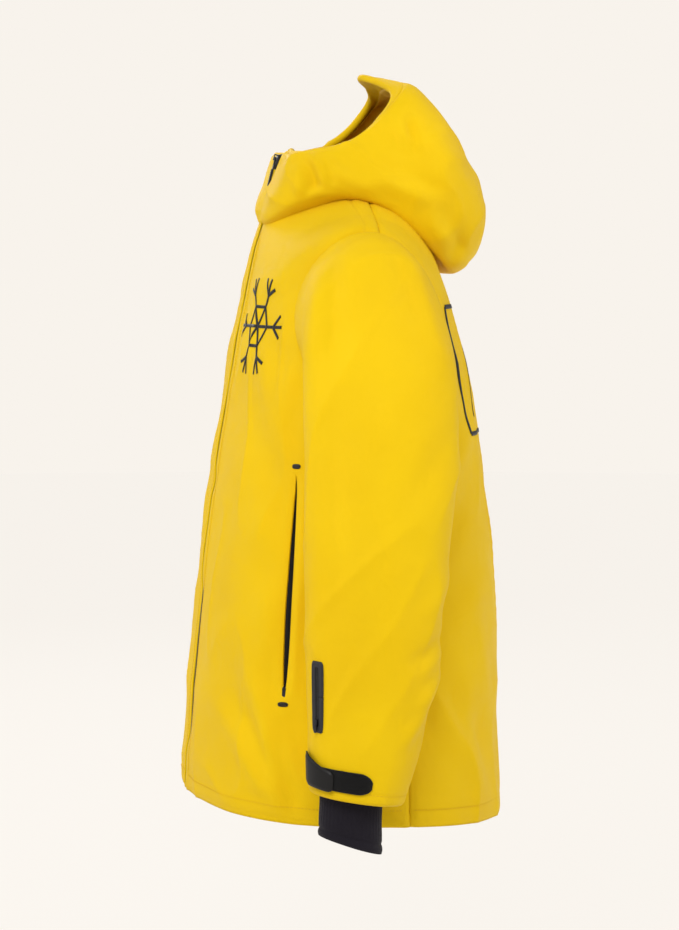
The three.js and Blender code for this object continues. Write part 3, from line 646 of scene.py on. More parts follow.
def body_relief(points, from_edge, from_side, seed):
    """Folds, seam valleys and the hem's channel of a body panel, inwards or outwards."""
    above_hem = points[:, 2] - mix(
        hem_front, -BODY_LENGTH, smooth(points[:, 1], -FRONT_DEPTH, BACK_DEPTH)
    )
    shoulder = smooth(points[:, 2], -0.06, -0.045) * (np.abs(points[:, 0]) > NECK_HALF)
    height = folds(points, BODY_RIDGES)
    height += ripple(points, 0.16, 0.0050, seed) + ripple(points, 0.055, 0.0014, seed + 1)
    turned = points + np.array([0, 0.35, 0]) * points[:, 2:]
    height += creases(turned, 0.075, (1, 1, 3.0), 0.0030, seed + 2) * smooth(-points[:, 2], 0.05, 0.16)
    height *= smooth(from_edge, 0, 0.05) * 0.75 + 0.25
    height *= 1 - 0.8 * np.exp(-((pocket_distance(points)[0] / 0.018) ** 2))
    height *= 1 - 0.92 * np.exp(-((armhole_distance(points) / 0.013) ** 2))
    height += groove(from_side, 0.0022, 0.0045)
    height += groove(armhole_distance(points), 0.0024, 0.005)
    height += shoulder * groove(points[:, 1] + 0.006, 0.0016, 0.003)
    height += groove(above_hem - HEM_STITCH, 0.0007, 0.0022)
    height += groove(above_hem, 0.0016, 0.0035)
    lip = np.where(points[:, 0] > 0, 0.0022, 0.0002) * smooth(-points[:, 2], 0.03, 0.06)
    height += (lip - lip_drop(points)) * np.exp(-((from_edge / 0.008) ** 2))
    height += groove(from_edge - 0.0085, 0.0005, 0.0016)
    height += pocket_relief(points)
    return height


def plain_relief(points, seed):
    """The body's relief with the panels' edges far away."""
    far = np.full(len(points), 1.0)
    return body_relief(points, far, far, seed)


def front_surface(side, seed):
    """The left front, or its mirror image for the right, from the closure to the side seam."""

    def place(u, v):
        return body_point(mix(edge_angle(CLOSURE_GAP / 2, v), SIDE_SEAM, u), v)

    def relief(points, u, v):
        return body_relief(points, u * FRONT_WIDTH, (1 - u) * FRONT_WIDTH, seed)

    return sided(raised(place, relief), side)


def back_surface(u, v):
    angle = mix(SIDE_SEAM, math.tau - SIDE_SEAM, u)
    return body_point(angle, v)


def back_relief(points, u, v):
    from_side = np.minimum(u, 1 - u) * BACK_WIDTH
    return body_relief(points, np.full(len(points), 1.0), from_side, BACK_SEED)


back_face = raised(back_surface, back_relief)


def armhole_blade(side):
    """A cylinder through the side of the body, whose section is the armhole's oval."""
    bpy.ops.mesh.primitive_cylinder_add(
        vertices=72, radius=1, depth=0.26, location=(side * 0.24, ARMHOLE_Y, ARMHOLE_Z)
    )
    blade = bpy.context.object
    blade.rotation_euler = (0, math.pi / 2, 0)
    blade.scale = (ARMHOLE_HIGH, ARMHOLE_DEEP, 1)
    bpy.ops.object.transform_apply(location=True, rotation=True, scale=True)
    return blade


def slit_blade(side):
    """A lens through the front along the pocket's line, widest below its middle."""
    bpy.ops.mesh.primitive_cylinder_add(vertices=64, radius=1, depth=0.036)
    blade = bpy.context.object
    down = pocket_run / pocket_length
    turn = np.array([POCKET_TURN])
    level = level_at(turn, -(POCKET_TOP + POCKET_BOTTOM) / 2)
    ahead = body_point(turn - 0.02, level)[0]
    behind = body_point(turn + 0.02, level)[0]
    back = (behind - ahead) / np.linalg.norm(behind - ahead)
    out = np.cross(down, back)
    for vertex in blade.data.vertices:
        x, y, z = vertex.co
        along = y * (pocket_length / 2 - SLIT_END)
        wide = x * SLIT_HALF * (1 + 0.35 * y)
        spot = (pocket_top + pocket_bottom) / 2 + down * along + back * wide + out * z
        vertex.co = spot * np.array([side, 1, 1])
    only(blade)
    in_edit(lambda: bpy.ops.mesh.normals_make_consistent(inside=False))
    return blade


def cut_out(piece, blades):
    """Cuts the blades' shapes out of the piece and removes the blades."""
    for blade in blades:
        finished(piece, "BOOLEAN", object=blade, operation="DIFFERENCE", solver="EXACT")
        bpy.data.objects.remove(blade)
    return piece


front_panels, front_faces = {}, {}
for side, stem, seed in FRONTS:
    front_faces[stem] = front_surface(side, seed)
    panel = cloth(f"front_panel_{stem}", 112, 176, front_faces[stem], (FRONT_WIDTH, body_height))
    front_panels[stem] = walled(panel, WALL)
back_panel = cloth("back_panel", 190, 176, back_face, (BACK_WIDTH, body_height))
walled(back_panel, WALL)
cut_out(front_panels["left"], [armhole_blade(1), slit_blade(1)])
cut_out(front_panels["right"], [armhole_blade(-1), slit_blade(-1)])
cut_out(back_panel, [armhole_blade(1), armhole_blade(-1)])
for stem, panel in front_panels.items():
    worn(panel, "torso", "yellow_shell", yellow_cloth, f"front_shell_{stem}")
worn(back_panel, "torso", "yellow_shell", yellow_cloth, "back_shell")

# ---------------------------------------------------------------- linings of the body
# A plain taffeta lining follows each panel of the body on the inside, cut out at the armholes. It
# stands off the outer cloth in front, where the hand pockets' bags hang between the two.
TAFFETA, DEEP_TAFFETA = (0.78, 0.46, 0.006), (0.70, 0.40, 0.005)
lining_cloth = cloth_material(
    "body_lining_taffeta", TAFFETA, DEEP_TAFFETA, 0.5, 2400.0, 0.00005, 60.0, 0.0008, 0.05
)
LINING_DEPTH = 0.0040
LINING_WALL = 0.0008
POCKET_ROOM = 0.010
LINING_LOW, LINING_HIGH = 0.012, 0.985
TAPE_WIDTH = 0.020
TOOTH_GAP = 0.0026
lining_edge = TAPE_WIDTH + TOOTH_GAP / 2 + 0.0004


def settled(height):
    """A lining's share of the outer cloth's relief, which keeps it clear of the hollows."""
    return np.minimum(height * 0.6, height + 0.0012)


def pocket_room(degrees, z):
    """How much further in the lining lies where a pocket's bag hangs in front of it."""
    sideways = smooth(degrees, 4, 18) * (1 - smooth(degrees, 71, 91))
    lengthways = smooth(-z, POCKET_TOP - 0.110, POCKET_TOP - 0.050)
    lengthways = lengthways * (1 - smooth(-z, POCKET_BOTTOM + 0.050, POCKET_BOTTOM + 0.105))
    return POCKET_ROOM * sideways * lengthways


def front_lining_surface(side, seed):
    """The lining of a front, from beside the zip to the side seam."""

    def place(u, v):
        return body_point(mix(edge_angle(lining_edge, v), SIDE_SEAM, u), v)

    def inward(points, u, v):
        degrees = np.degrees(mix(0.05, SIDE_SEAM, u))
        height = body_relief(points, np.full(len(u), 1.0), (1 - u) * 0.43, seed)
        return settled(height) - LINING_DEPTH - pocket_room(degrees, points[:, 2])

    lifted = raised(place, inward)
    return sided(lambda u, v: lifted(u, mix(LINING_LOW, LINING_HIGH, v)), side)


def back_lining_surface(u, v):
    v = mix(LINING_LOW, LINING_HIGH, v)
    points = back_surface(u, v)
    height = settled(back_relief(points, u, v)) - LINING_DEPTH
    return points + outward(back_surface, u, v) * height[:, None]


for side, stem, seed in FRONTS:
    face = front_lining_surface(side, seed)
    lining = walled(cloth(f"lining_front_{stem}", 56, 88, face, (0.41, body_height)), LINING_WALL)
    cut_out(lining, [armhole_blade(side)])
    worn(lining, "torso", "lining", lining_cloth, f"front_lining_{stem}")
lining = cloth("lining_back", 96, 88, back_lining_surface, (BACK_WIDTH, body_height))
walled(lining, LINING_WALL)
cut_out(lining, [armhole_blade(1), armhole_blade(-1)])
worn(lining, "torso", "lining", lining_cloth, "back_lining")

# ---------------------------------------------------------------- front zip
# Two woven tapes are sewn behind the front edges. Moulded teeth stand on their inner edges and lock
# in each other. A box stops them at the hem; a flap of the outer cloth lies behind them.
TAPE_BLACK, TAPE_GREY = (0.012, 0.011, 0.011), (0.018, 0.016, 0.015)
tape_cloth = cloth_material("zip_tape_weave", TAPE_BLACK, TAPE_GREY, 0.6, 900.0, 0.0002, 80.0, 0.0003, 0.05)
TAPE_DEPTH = WALL + 0.001
COLLAR_RISE = 0.054
COLLAR_TAPER = 0.014
zip_top = COLLAR_RISE - 0.002
zip_bottom = hem_front + 0.012


def face_recession(x, z):
    """How far the front falls behind its centre line at x across."""
    x, z = np.broadcast_arrays(np.asarray(x, float), np.asarray(z, float))
    collar_share = np.clip((z + NECK_FRONT_DROP) / (COLLAR_RISE + NECK_FRONT_DROP), 0, 1)
    level = halved(lambda t: through(BODY_ROWS, t)[..., 0] < z, 0 * z, 0 * z + 1)
    row = through(BODY_ROWS, level)
    width, square = row[..., 1] - COLLAR_TAPER * collar_share, row[..., 6]
    return -front_line(z) * (1 - (1 - (np.abs(x) / width) ** square) ** (1 / square))


def closure_point(x, depth, z):
    """A point beside the closure: x across, depth behind the outer face, z along the arc."""
    r = CLOSURE_RADIUS - depth - face_recession(x, z)
    angle = np.arcsin((z - arc_z) / CLOSURE_RADIUS)
    return np.stack([x + 0 * z, arc_y - r * np.cos(angle), arc_z + r * np.sin(angle)], -1)


def closure_axes(z):
    """The ways up along the closure and out from it at a height."""
    slope = math.asin((z - arc_z) / CLOSURE_RADIUS)
    up = np.array([0, math.sin(slope), math.cos(slope)])
    out = np.array([0, -math.cos(slope), math.sin(slope)])
    return up, out


def closure_strip(x0, x1, depth, low, high, wave=0.0):
    """A strip behind the closure from x0 to x1, between two heights, with a slight wave."""

    def place(u, v):
        swell = wave * np.sin(v * 40 + u * 3)
        return closure_point(mix(x0, x1, u), depth + swell, mix(low, high, v))

    return place


for side, stem in SIDES:
    ends = sorted((side * TOOTH_GAP / 2, side * (TOOTH_GAP / 2 + TAPE_WIDTH)))
    strip = closure_strip(*ends, TAPE_DEPTH, zip_bottom, zip_top)
    tape = walled(cloth(f"zip_tape_{stem}", 10, 120, strip, (0.02, 0.72)), 0.0009)
    worn(tape, "torso", "zip_tape", tape_cloth, f"main_zip_tape_{stem}")


def piece_of(name, mesh):
    """A new piece that shows the mesh, as the only one selected."""
    piece = bpy.data.objects.new(name, mesh)
    bpy.context.scene.collection.objects.link(piece)
    only(piece)
    return piece


def repeated(name, unit, frames):
    """One piece of many copies of the unit's mesh, each with its three axes and its place."""
    points = np.array([p.co for p in unit.data.vertices], float)
    faces = [list(face.vertices) for face in unit.data.polygons]
    bpy.data.objects.remove(unit)
    placed = [points @ np.array(axes, float) + place for *axes, place in frames]
    count = len(points)
    every = [[i + k * count for i in face] for k in range(len(placed)) for face in faces]
    mesh = bpy.data.meshes.new(name)
    mesh.from_pydata(np.concatenate(placed).tolist(), [], every)
    piece = piece_of(name, mesh)
    bpy.ops.object.shade_smooth_by_angle(angle=math.radians(40))
    return piece


def small_block(size, bevel, segments=1):
    """A block with softened edges, at the origin, as a unit to repeat."""
    deselect()
    bpy.ops.mesh.primitive_cube_add(size=1)
    block = bpy.context.object
    block.scale = size
    bpy.ops.object.transform_apply(location=True, rotation=True, scale=True)
    return finished(block, "BEVEL", width=bevel, segments=segments)


def moulded(name, colour, roughness, metallic=0.0, grain=900.0, grain_depth=0.00005):
    """Moulded plastic, rubber or painted metal with a fine grain and slight wear in its gloss."""
    material, tree, shader = new_material(name)
    place = node(tree, "ShaderNodeTexCoord").outputs["Object"]
    uneven = node(tree, "ShaderNodeGroup", {"node_tree": crinkle}, Point=place, Size=grain)
    darker, lighter = [c * 0.85 for c in colour], [c * 1.15 for c in colour]
    tone = mixed(tree, uneven.outputs["Height"], (*darker, 1), (*lighter, 1))
    tree.links.new(tone, shader.inputs["Base Color"])
    gloss = mapped(tree, uneven.outputs["Patch"], roughness - 0.05, roughness + 0.06)
    tree.links.new(gloss, shader.inputs["Roughness"])
    bump = node(tree, "ShaderNodeBump", Height=uneven.outputs["Height"], Distance=grain_depth)
    tree.links.new(bump.outputs[0], shader.inputs["Normal"])
    shader.inputs["Metallic"].default_value = metallic
    shader.inputs["Specular IOR Level"].default_value = 0.25
    return material


tooth_plastic = moulded("zip_tooth_plastic", (0.014, 0.013, 0.013), 0.38)
TOOTH_PITCH = 0.0024
tooth_frames = []
tooth_heights = np.arange(zip_bottom + 0.002, zip_top - 0.012, TOOTH_PITCH)
for side in (1, -1):
    heights = tooth_heights + side * TOOTH_PITCH / 4
    for place in closure_point(0 * heights, TAPE_DEPTH - 0.0002, heights):
        up, out = closure_axes(place[2])
        tooth_frames.append(((side, 0, 0), out, up, place + np.array([side * 0.0011, 0, 0])))
teeth = repeated("zip_teeth", small_block((0.0034, 0.0022, 0.0011), 0.0003), tooth_frames)
worn(teeth, "torso", "zip_box", tooth_plastic)


def refined(node_name, name, bevel):
    """A clean copy of a hard CAD node, its flat faces joined and its edges softened."""
    piece = piece_of(name, frame["nodes"][node_name].data.copy())
    in_edit(lambda: bpy.ops.mesh.remove_doubles(threshold=2e-6))
    in_edit(lambda: bpy.ops.mesh.dissolve_limited(angle_limit=math.radians(2)))
    rule = {"limit_method": "ANGLE", "angle_limit": math.radians(35), "use_clamp_overlap": True}
    finished(piece, "BEVEL", width=bevel, segments=2, **rule)
    bpy.ops.object.shade_smooth_by_angle(angle=math.radians(38))
    return piece


gunmetal = moulded("slider_gunmetal", (0.045, 0.044, 0.05), 0.34, 0.9, 1400.0, 0.00003)
black_rubber = moulded("black_rubber", (0.012, 0.0115, 0.012), 0.5, 0.0, 1600.0, 0.00006)
grey_rubber = moulded("grey_grip_rubber", (0.13, 0.13, 0.135), 0.45, 0.0, 1600.0, 0.00006)
zip_box = refined("main_zip_box", "zip_box", 0.0005)
worn(zip_box, "torso", "zip_box", tooth_plastic, "main_zip_box")
slider = refined("main_zip_slider", "zip_slider", 0.0005)
worn(slider, "zip_slider", "zip_slider", gunmetal, "main_zip_slider")
pull = refined("main_zip_pull", "zip_pull", 0.0004)
worn(pull, "zip_pull", "zip_pull", black_rubber, "main_zip_pull")

# The pull's grip has a grey face let into it, with ribs across for the fingers.
pull_low, pull_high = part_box("main_zip_pull")
pull_up, pull_out = closure_axes(pull_high.z)
pull_middle = (np.array(pull_low) + np.array(pull_high)) / 2
grip_centre = pull_middle - pull_up * 0.0065 + pull_out * 0.00115
grip_block = small_block((0.0034, 0.0010, 0.0165), 0.0004, 3)
grip = repeated("zip_pull_grip", grip_block, [((1, 0, 0), pull_out, pull_up, grip_centre)])
worn(grip, "zip_pull", "zip_pull", grey_rubber)
rib_frames = [
    ((1, 0, 0), pull_out, pull_up, grip_centre + pull_out * 0.0005 + pull_up * rise)
    for rise in np.linspace(-0.0062, 0.0062, 6)
]
ribs = repeated("zip_pull_ribs", small_block((0.0030, 0.0006, 0.0009), 0.0002), rib_frames)
worn(ribs, "zip_pull", "zip_pull", grey_rubber)

flap_ends = (zip_bottom + 0.004, zip_top - 0.002)
flap_strip = closure_strip(-0.016, TAPE_WIDTH + 0.005, 0.007, *flap_ends, 0.0003)
flap = cloth("storm_flap", 24, 150, flap_strip, (0.041, 0.71))
walled(flap, 0.0013)
worn(flap, "torso", "yellow_shell", yellow_cloth, "wind_flap")
FLEECE_DARK, FLEECE_LIGHT = (0.02, 0.018, 0.022), (0.03, 0.026, 0.03)
fleece = cloth_material("chin_fleece", FLEECE_DARK, FLEECE_LIGHT, 0.9, 500.0, 0.0004, 300.0, 0.0008, 0.4)
guard_strip = closure_strip(-0.014, 0.026, 0.0088, zip_top - 0.050, zip_top - 0.004, 0.0002)
guard = cloth("fleece_guard", 20, 24, guard_strip, (0.04, 0.046))
walled(guard, 0.0014)
worn(guard, "torso", "inner_fabric", fleece, "chin_guard")

# ---------------------------------------------------------------- hood and collar
# One padded piece of the same cloth stands up as the collar at the front, goes round the neck and
# falls open behind it as the hood. Its edge is rolled over and faced on the inside.
# Each row is a line round the neck from the front centre to the back centre, in millimetres, for
# the left half. The first lies in the neck seam, the second is the lower edge, the last the rim.
HOOD_ROWS_MM = [
    [(9, -86, -31), (41, -82, -28), (72, -63, -18), (92, -33, -8), (96, 0, -5),
     (91, 35, -8), (70, 66, -14), (39, 88, -20), (0, 94, -22)],
    [(9, -94, -25), (43, -90, -22), (79, -74, -10), (105, -41, 3), (113, -2, 0),
     (114, 37, -15), (100, 78, -49), (60, 112, -78), (0, 123, -84)],
    [(9, -92, -8), (44, -90, -5), (81, -75, 7), (108, -42, 17), (118, -2, 15),
     (122, 44, 2), (113, 96, -30), (70, 138, -60), (0, 151, -66)],
    [(9, -86, 14), (42, -85, 14), (77, -74, 22), (103, -44, 33), (113, -2, 36),
     (121, 47, 28), (116, 106, 6), (76, 150, -18), (0, 166, -26)],
    [(9, -78, 33), (40, -79, 32), (71, -71, 36), (94, -44, 45), (103, -5, 54),
     (112, 40, 58), (110, 94, 50), (72, 138, 36), (0, 157, 26)],
    [(9, -70, 50), (37, -72, 46), (66, -67, 48), (86, -44, 51), (94, -8, 62),
     (101, 28, 82), (97, 72, 94), (62, 108, 92), (0, 127, 82)],
    [(9, -65, 55), (35, -67, 51), (63, -64, 51), (83, -43, 53), (90, -9, 63),
     (94, 25, 86), (88, 58, 114), (56, 76, 124), (0, 84, 122)],
    [(9, -60, 58), (34, -63, 54), (60, -61, 53), (80, -42, 53), (87, -10, 62),
     (88, 22, 84), (77, 47, 115), (44, 42, 134), (0, 27, 143)],
]
half_rows = np.array(HOOD_ROWS_MM) / 1000
HOOD_ROWS = np.concatenate([half_rows, half_rows[:, -2::-1] * np.array([-1, 1, 1])], axis=1)
HOOD_RIDGES = [
    (-0.012, 0.034, 0.090, -0.006, 0.010, 0.0030),
    (-0.030, 0.030, 0.020, 0.005, 0.009, 0.0024),
    (-0.055, 0.044, -0.044, 0.006, 0.006, -0.0036),
    (-0.064, 0.034, -0.060, -0.004, 0.007, 0.0026),
    (-0.040, 0.040, -0.026, 0.014, 0.006, -0.0022),
    (0.050, 0.088, 0.058, 0.050, 0.007, 0.0022),
    (0.064, 0.090, 0.063, 0.048, 0.006, -0.0020),
    (0.076, -0.020, 0.118, -0.070, 0.012, 0.0030),
    (0.132, -0.052, 0.108, -0.066, 0.012, -0.0036),
    (0.085, 0.080, 0.122, 0.010, 0.022, 0.0028),
]
ROLL = 0.0042
FACING = 0.10


def hood_skin(u, v):
    """The hood and collar's outer face, round the neck by u and from neck seam to rim by v."""
    u, v = np.clip(u, 0, 1), np.clip(v, 0, 1)
    rings = np.stack([through(row, u) for row in HOOD_ROWS])
    return through(rings, v, np.arange(len(u)))


def hood_relief(points, u, v):
    """Folds, the dent at the hood's back, the closure's edges and the stitched channel of the rim."""
    height = 1.35 * folds(points, HOOD_RIDGES) * smooth(v, 0.1, 0.25)
    height += ripple(points, 0.075, 0.0040, 11.0) + ripple(points, 0.032, 0.0012, 12.0)
    height += creases(points, 0.060, (1.6, 1, 1), 0.0024, 13.0)
    height *= smooth(v, 0.12, 0.28) * (1 - 0.6 * smooth(v, 0.9, 1))
    dent = np.linalg.norm((points - [0.062, 0.128, 0.034]) / [0.05, 0.026, 0.022], axis=1)
    height += -0.004 * np.exp(-(dent**2))
    from_front = np.minimum(u, 1 - u) * 0.62
    height += groove(from_front, 0.0020, 0.0034)
    height -= 0.0045 * np.exp(-(((1 - u) * 0.62 / 0.035) ** 2)) * smooth(v, 0.05, 0.2)
    height += groove((1 - v) * 0.16 - 0.0145, 0.0008, 0.0022)
    return height


hood_outer = raised(hood_skin, hood_relief)


def hood_with_rim(u, w):
    """The outer face up to the rim, the rolled edge and the facing that runs back down inside."""
    outer_share, roll_share = 0.80, 0.10
    v = np.where(w < outer_share, w / outer_share, 1.0)
    inside = np.clip((w - outer_share - roll_share) / (1 - outer_share - roll_share), 0, 1)
    v = np.where(inside > 0, 1 - FACING * inside, v)
    points = hood_outer(u, v)
    normal = outward(hood_skin, u, v, 4e-3)
    up = hood_skin(u, np.minimum(v, 1)) - hood_skin(u, np.minimum(v, 1) - 0.01)
    up /= np.maximum(np.linalg.norm(up, axis=1, keepdims=True), 1e-9)
    turn = np.clip((w - outer_share) / roll_share, 0, 1) * math.pi
    edge_up = ROLL * np.sin(turn) * (inside <= 0)
    return points + up * edge_up[:, None] - normal * (ROLL * (1 - np.cos(turn)))[:, None]


hood = cloth("hood_and_collar", 230, 120, hood_with_rim, (0.66, 0.34))
walled(hood, WALL)
worn(hood, None, "yellow_shell", yellow_cloth, "hood_shell", "collar_shell")
# The hood's bend line runs between these two points; the hood stays one piece and nothing here bends it.
HOOD_BEND_START, HOOD_BEND_END = (0, 0.0413, 0.0363), (0, 0.0825, 0.0726)
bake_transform(hood)
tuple(HOOD_BEND_START)
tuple(HOOD_BEND_END)

# ---------------------------------------------------------------- collar lining and hood lining
# Inside the neck a ring of the lining's cloth faces the collar. The hood's inside is lined from the
# facing at its rim down to the collar, and the two are sewn together in the neck seam.
def collar_ring(u, v):
    """The collar's inside, round the neck from beside the zip on the left by the back to the right."""
    angle = mix(0.26, math.tau - 0.26, u)
    s, c = np.sin(angle), np.cos(angle)
    front_z = mix(-NECK_FRONT_DROP, COLLAR_RISE - 0.006, v)
    end_y = np.where(c > 0, front_line(front_z) + 0.004, mix(NECK_BACK - 0.004, NECK_BACK - 0.018, v))
    end_z = np.where(c > 0, front_z, mix(-NECK_BACK_DROP, 0.056, v))
    points = np.stack([(NECK_HALF - 0.005 - COLLAR_TAPER * v) * s, end_y * np.abs(c), 0 * s], -1)
    points[:, 2] = mix(0.060 * v, end_z, c * c)
    shrink = 1 - 0.05 * smooth(v, 0.1, 0.5)
    points[:, :2] *= shrink[:, None]
    points[:, 2] += ripple(points, 0.03, 0.0012, 31.0)
    return points


collar_lining = cloth("collar_facing", 140, 26, collar_ring, (0.55, 0.07))
walled(collar_lining, 0.0014, 1.0)
worn(collar_lining, "torso", "lining", lining_cloth, "collar_lining")


def hood_inside(u, w):
    """The hood's inner face, from the collar's side of the neck up to the rim's facing."""
    v = mix(0.16, 0.93, w)
    u = mix(0.015, 0.985, u)
    height = settled(hood_relief(hood_skin(u, v), u, v)) - 0.0040 - 0.0052 * smooth(v, 0.80, 0.90)
    return hood_skin(u, v) + outward(hood_skin, u, v, 4e-3) * height[:, None]


hood_lining = cloth("hood_inside", 150, 70, hood_inside, (0.62, 0.28))
walled(hood_lining, LINING_WALL)
worn(hood_lining, None, "lining", lining_cloth, "hood_lining")
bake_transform(hood_lining)
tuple(HOOD_BEND_START)
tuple(HOOD_BEND_END)

HANGER_BLACK, HANGER_GREY = (0.014, 0.013, 0.013), (0.02, 0.018, 0.018)
hanger_tape = cloth_material("hanger_tape", HANGER_BLACK, HANGER_GREY, 0.7, 700.0, 0.0003)
loop = refined("hanger_loop", "hanging_loop", 0.0004)
worn(loop, "torso", "hanger_loop", hanger_tape, "hanger_loop")

# ---------------------------------------------------------------- sleeves
# Each sleeve is a padded tube of the same cloth, set into the armhole and hemmed at the wrist.
# Its rows run from the armhole to the cuff: outer x and z, inner x and z, front y and back y.
SLEEVE_END = 0.636
ARMHOLE_TOP = 0.042
SLEEVE_SEAT = -0.0010
SLEEVE_INNER = CHEST_HALF + 0.010
SLEEVE_OUTER = SLEEVE_INNER + 0.090
CUFF_INNER = SLEEVE_INNER + 0.014
CUFF_TILT = 0.16
armhole_bottom = ARMPIT_DROP - 0.004


def body_side_x(y, z):
    """How far out the left side of the body is at a depth and height."""
    y, z = np.atleast_1d(y).astype(float), np.atleast_1d(z).astype(float)

    def before(angle):
        return body_point(angle, level_at(angle, z))[..., 1] < y

    angle = halved(before, 0 * y + 0.02, 0 * y + math.pi - 0.02)
    return body_point(angle, level_at(angle, z))[..., 0]


top_x = body_side_x(ARMHOLE_Y, -ARMHOLE_TOP - 0.002)[0]
bottom_x = body_side_x(ARMHOLE_Y, 0.001 - armhole_bottom)[0]


def forearm(share):
    """The height at a share of the way from below the armpit to the sleeve's end."""
    return mix(-ARMPIT_DROP - 0.105, -SLEEVE_END, share)


SLEEVE_ROWS = [
    (
        top_x,
        -ARMHOLE_TOP - SLEEVE_SEAT,
        bottom_x,
        SLEEVE_SEAT - armhole_bottom,
        ARMHOLE_Y - ARMHOLE_DEEP + SLEEVE_SEAT,
        ARMHOLE_Y + ARMHOLE_DEEP - SLEEVE_SEAT,
    ),
    (top_x + 0.028, -ARMHOLE_TOP - 0.010, SLEEVE_INNER - 0.006, -ARMPIT_DROP - 0.002, -0.079, 0.071),
    (top_x + 0.058, -ARMHOLE_TOP - 0.044, SLEEVE_INNER - 0.002, -ARMPIT_DROP - 0.006, -0.082, 0.077),
    (SLEEVE_OUTER - 0.020, -ARMHOLE_TOP - 0.106, SLEEVE_INNER, -ARMPIT_DROP - 0.014, -0.085, 0.080),
    (SLEEVE_OUTER, -ARMPIT_DROP - 0.012, SLEEVE_INNER + 0.001, -ARMPIT_DROP - 0.042, -0.086, 0.080),
    (SLEEVE_OUTER + 0.008, forearm(0), SLEEVE_INNER + 0.002, forearm(0), -0.086, 0.075),
    (SLEEVE_OUTER + 0.012, forearm(0.3), SLEEVE_INNER + 0.004, forearm(0.3), -0.086, 0.066),
    (SLEEVE_OUTER + 0.014, forearm(0.6), SLEEVE_INNER + 0.007, forearm(0.6), -0.085, 0.054),
    (SLEEVE_OUTER + 0.015, forearm(0.85), SLEEVE_INNER + 0.011, forearm(0.85), -0.084, 0.036),
    (SLEEVE_OUTER + 0.014, forearm(1) - 0.008, CUFF_INNER, forearm(1) - 0.008, -0.083, 0.020),
]


def sleeve_point(turn, share):
    """A point of the free left sleeve: turn 0 is its outer side and a quarter turn its front."""
    row = np.moveaxis(through(SLEEVE_ROWS, share), -1, 0)
    outer_x, outer_z, inner_x, inner_z, front, back = row
    e = mix(1, 0.92, smooth(share, 0, 0.3))
    c, s = power(np.cos(turn), e), power(np.sin(turn), e)
    middle = (front + back) / 2
    y = middle - (back - front) / 2 * s
    x = mix(inner_x, outer_x, (1 + c) / 2)
    z = mix(inner_z, outer_z, (1 + c) / 2) - CUFF_TILT * smooth(share, 0.5, 1) * (y - middle)
    return np.stack([x, y, z], -1)


TURNED_IN = 0.0050
SEAT_STEPS = 180
seat_turns = np.linspace(0, math.tau, SEAT_STEPS + 1)
seat_roots = sleeve_point(seat_turns, 0 * seat_turns)
seat_shift = body_side_x(seat_roots[:, 1], seat_roots[:, 2]) - 0.0004 - seat_roots[:, 0]


def sleeve_skin(u, v):
    """The left sleeve's outer face. Its turned edge lies inside the armhole, its head on the body."""
    turn = math.tau * u
    points = sleeve_point(turn, v)
    seated = 1 - smooth(v, 0, 0.14)
    shift = np.interp(np.mod(turn, math.tau), seat_turns, seat_shift)
    points[:, 0] += shift * seated - TURNED_IN * (1 - smooth(v, 0, 0.014))
    return points


SLEEVE_RIDGES = [
    (0.070, -0.500, 0.028, -0.545, 0.008, 0.0034),
    (0.062, -0.470, 0.020, -0.500, 0.009, -0.0028),
    (0.050, -0.530, 0.012, -0.585, 0.008, 0.0026),
    (0.074, -0.400, 0.036, -0.450, 0.012, 0.0020),
    (0.070, -0.250, 0.020, -0.330, 0.016, -0.0020),
    (0.030, -0.090, 0.062, -0.190, 0.012, 0.0026),
    (0.012, -0.060, 0.040, -0.140, 0.010, -0.0022),
    (-0.060, -0.060, -0.078, -0.170, 0.008, 0.0028),
    (-0.050, -0.070, -0.058, -0.200, 0.014, -0.0016),
    (-0.020, -0.300, 0.010, -0.560, 0.026, 0.0014),
    (-0.064, -0.230, -0.060, -0.470, 0.012, -0.0014),
]
LEFT_SEED, RIGHT_SEED = 21.0, 25.0
SLEEVES = ((1, "left", LEFT_SEED), (-1, "right", RIGHT_SEED))
SLEEVE_LENGTH = 0.60
SLEEVE_GIRTH = 0.42


def flat_spots(points, u, v, seed):
    """1 where the cuff's tab or the forearm pocket's frame holds the cloth flat."""
    turn = np.mod(u * 360 + 90, 360) - 90
    tab = smooth(v, 0.86, 0.90) * smooth(turn, -24, -6) * (1 - smooth(turn, 106, 124))
    beside = smooth(turn, 38, 52) * (1 - smooth(turn, 74, 88))
    pocket = beside * smooth(-points[:, 2], 0.475, 0.492) * (1 - smooth(-points[:, 2], 0.572, 0.588))
    return np.maximum(tab, pocket * (seed == LEFT_SEED))


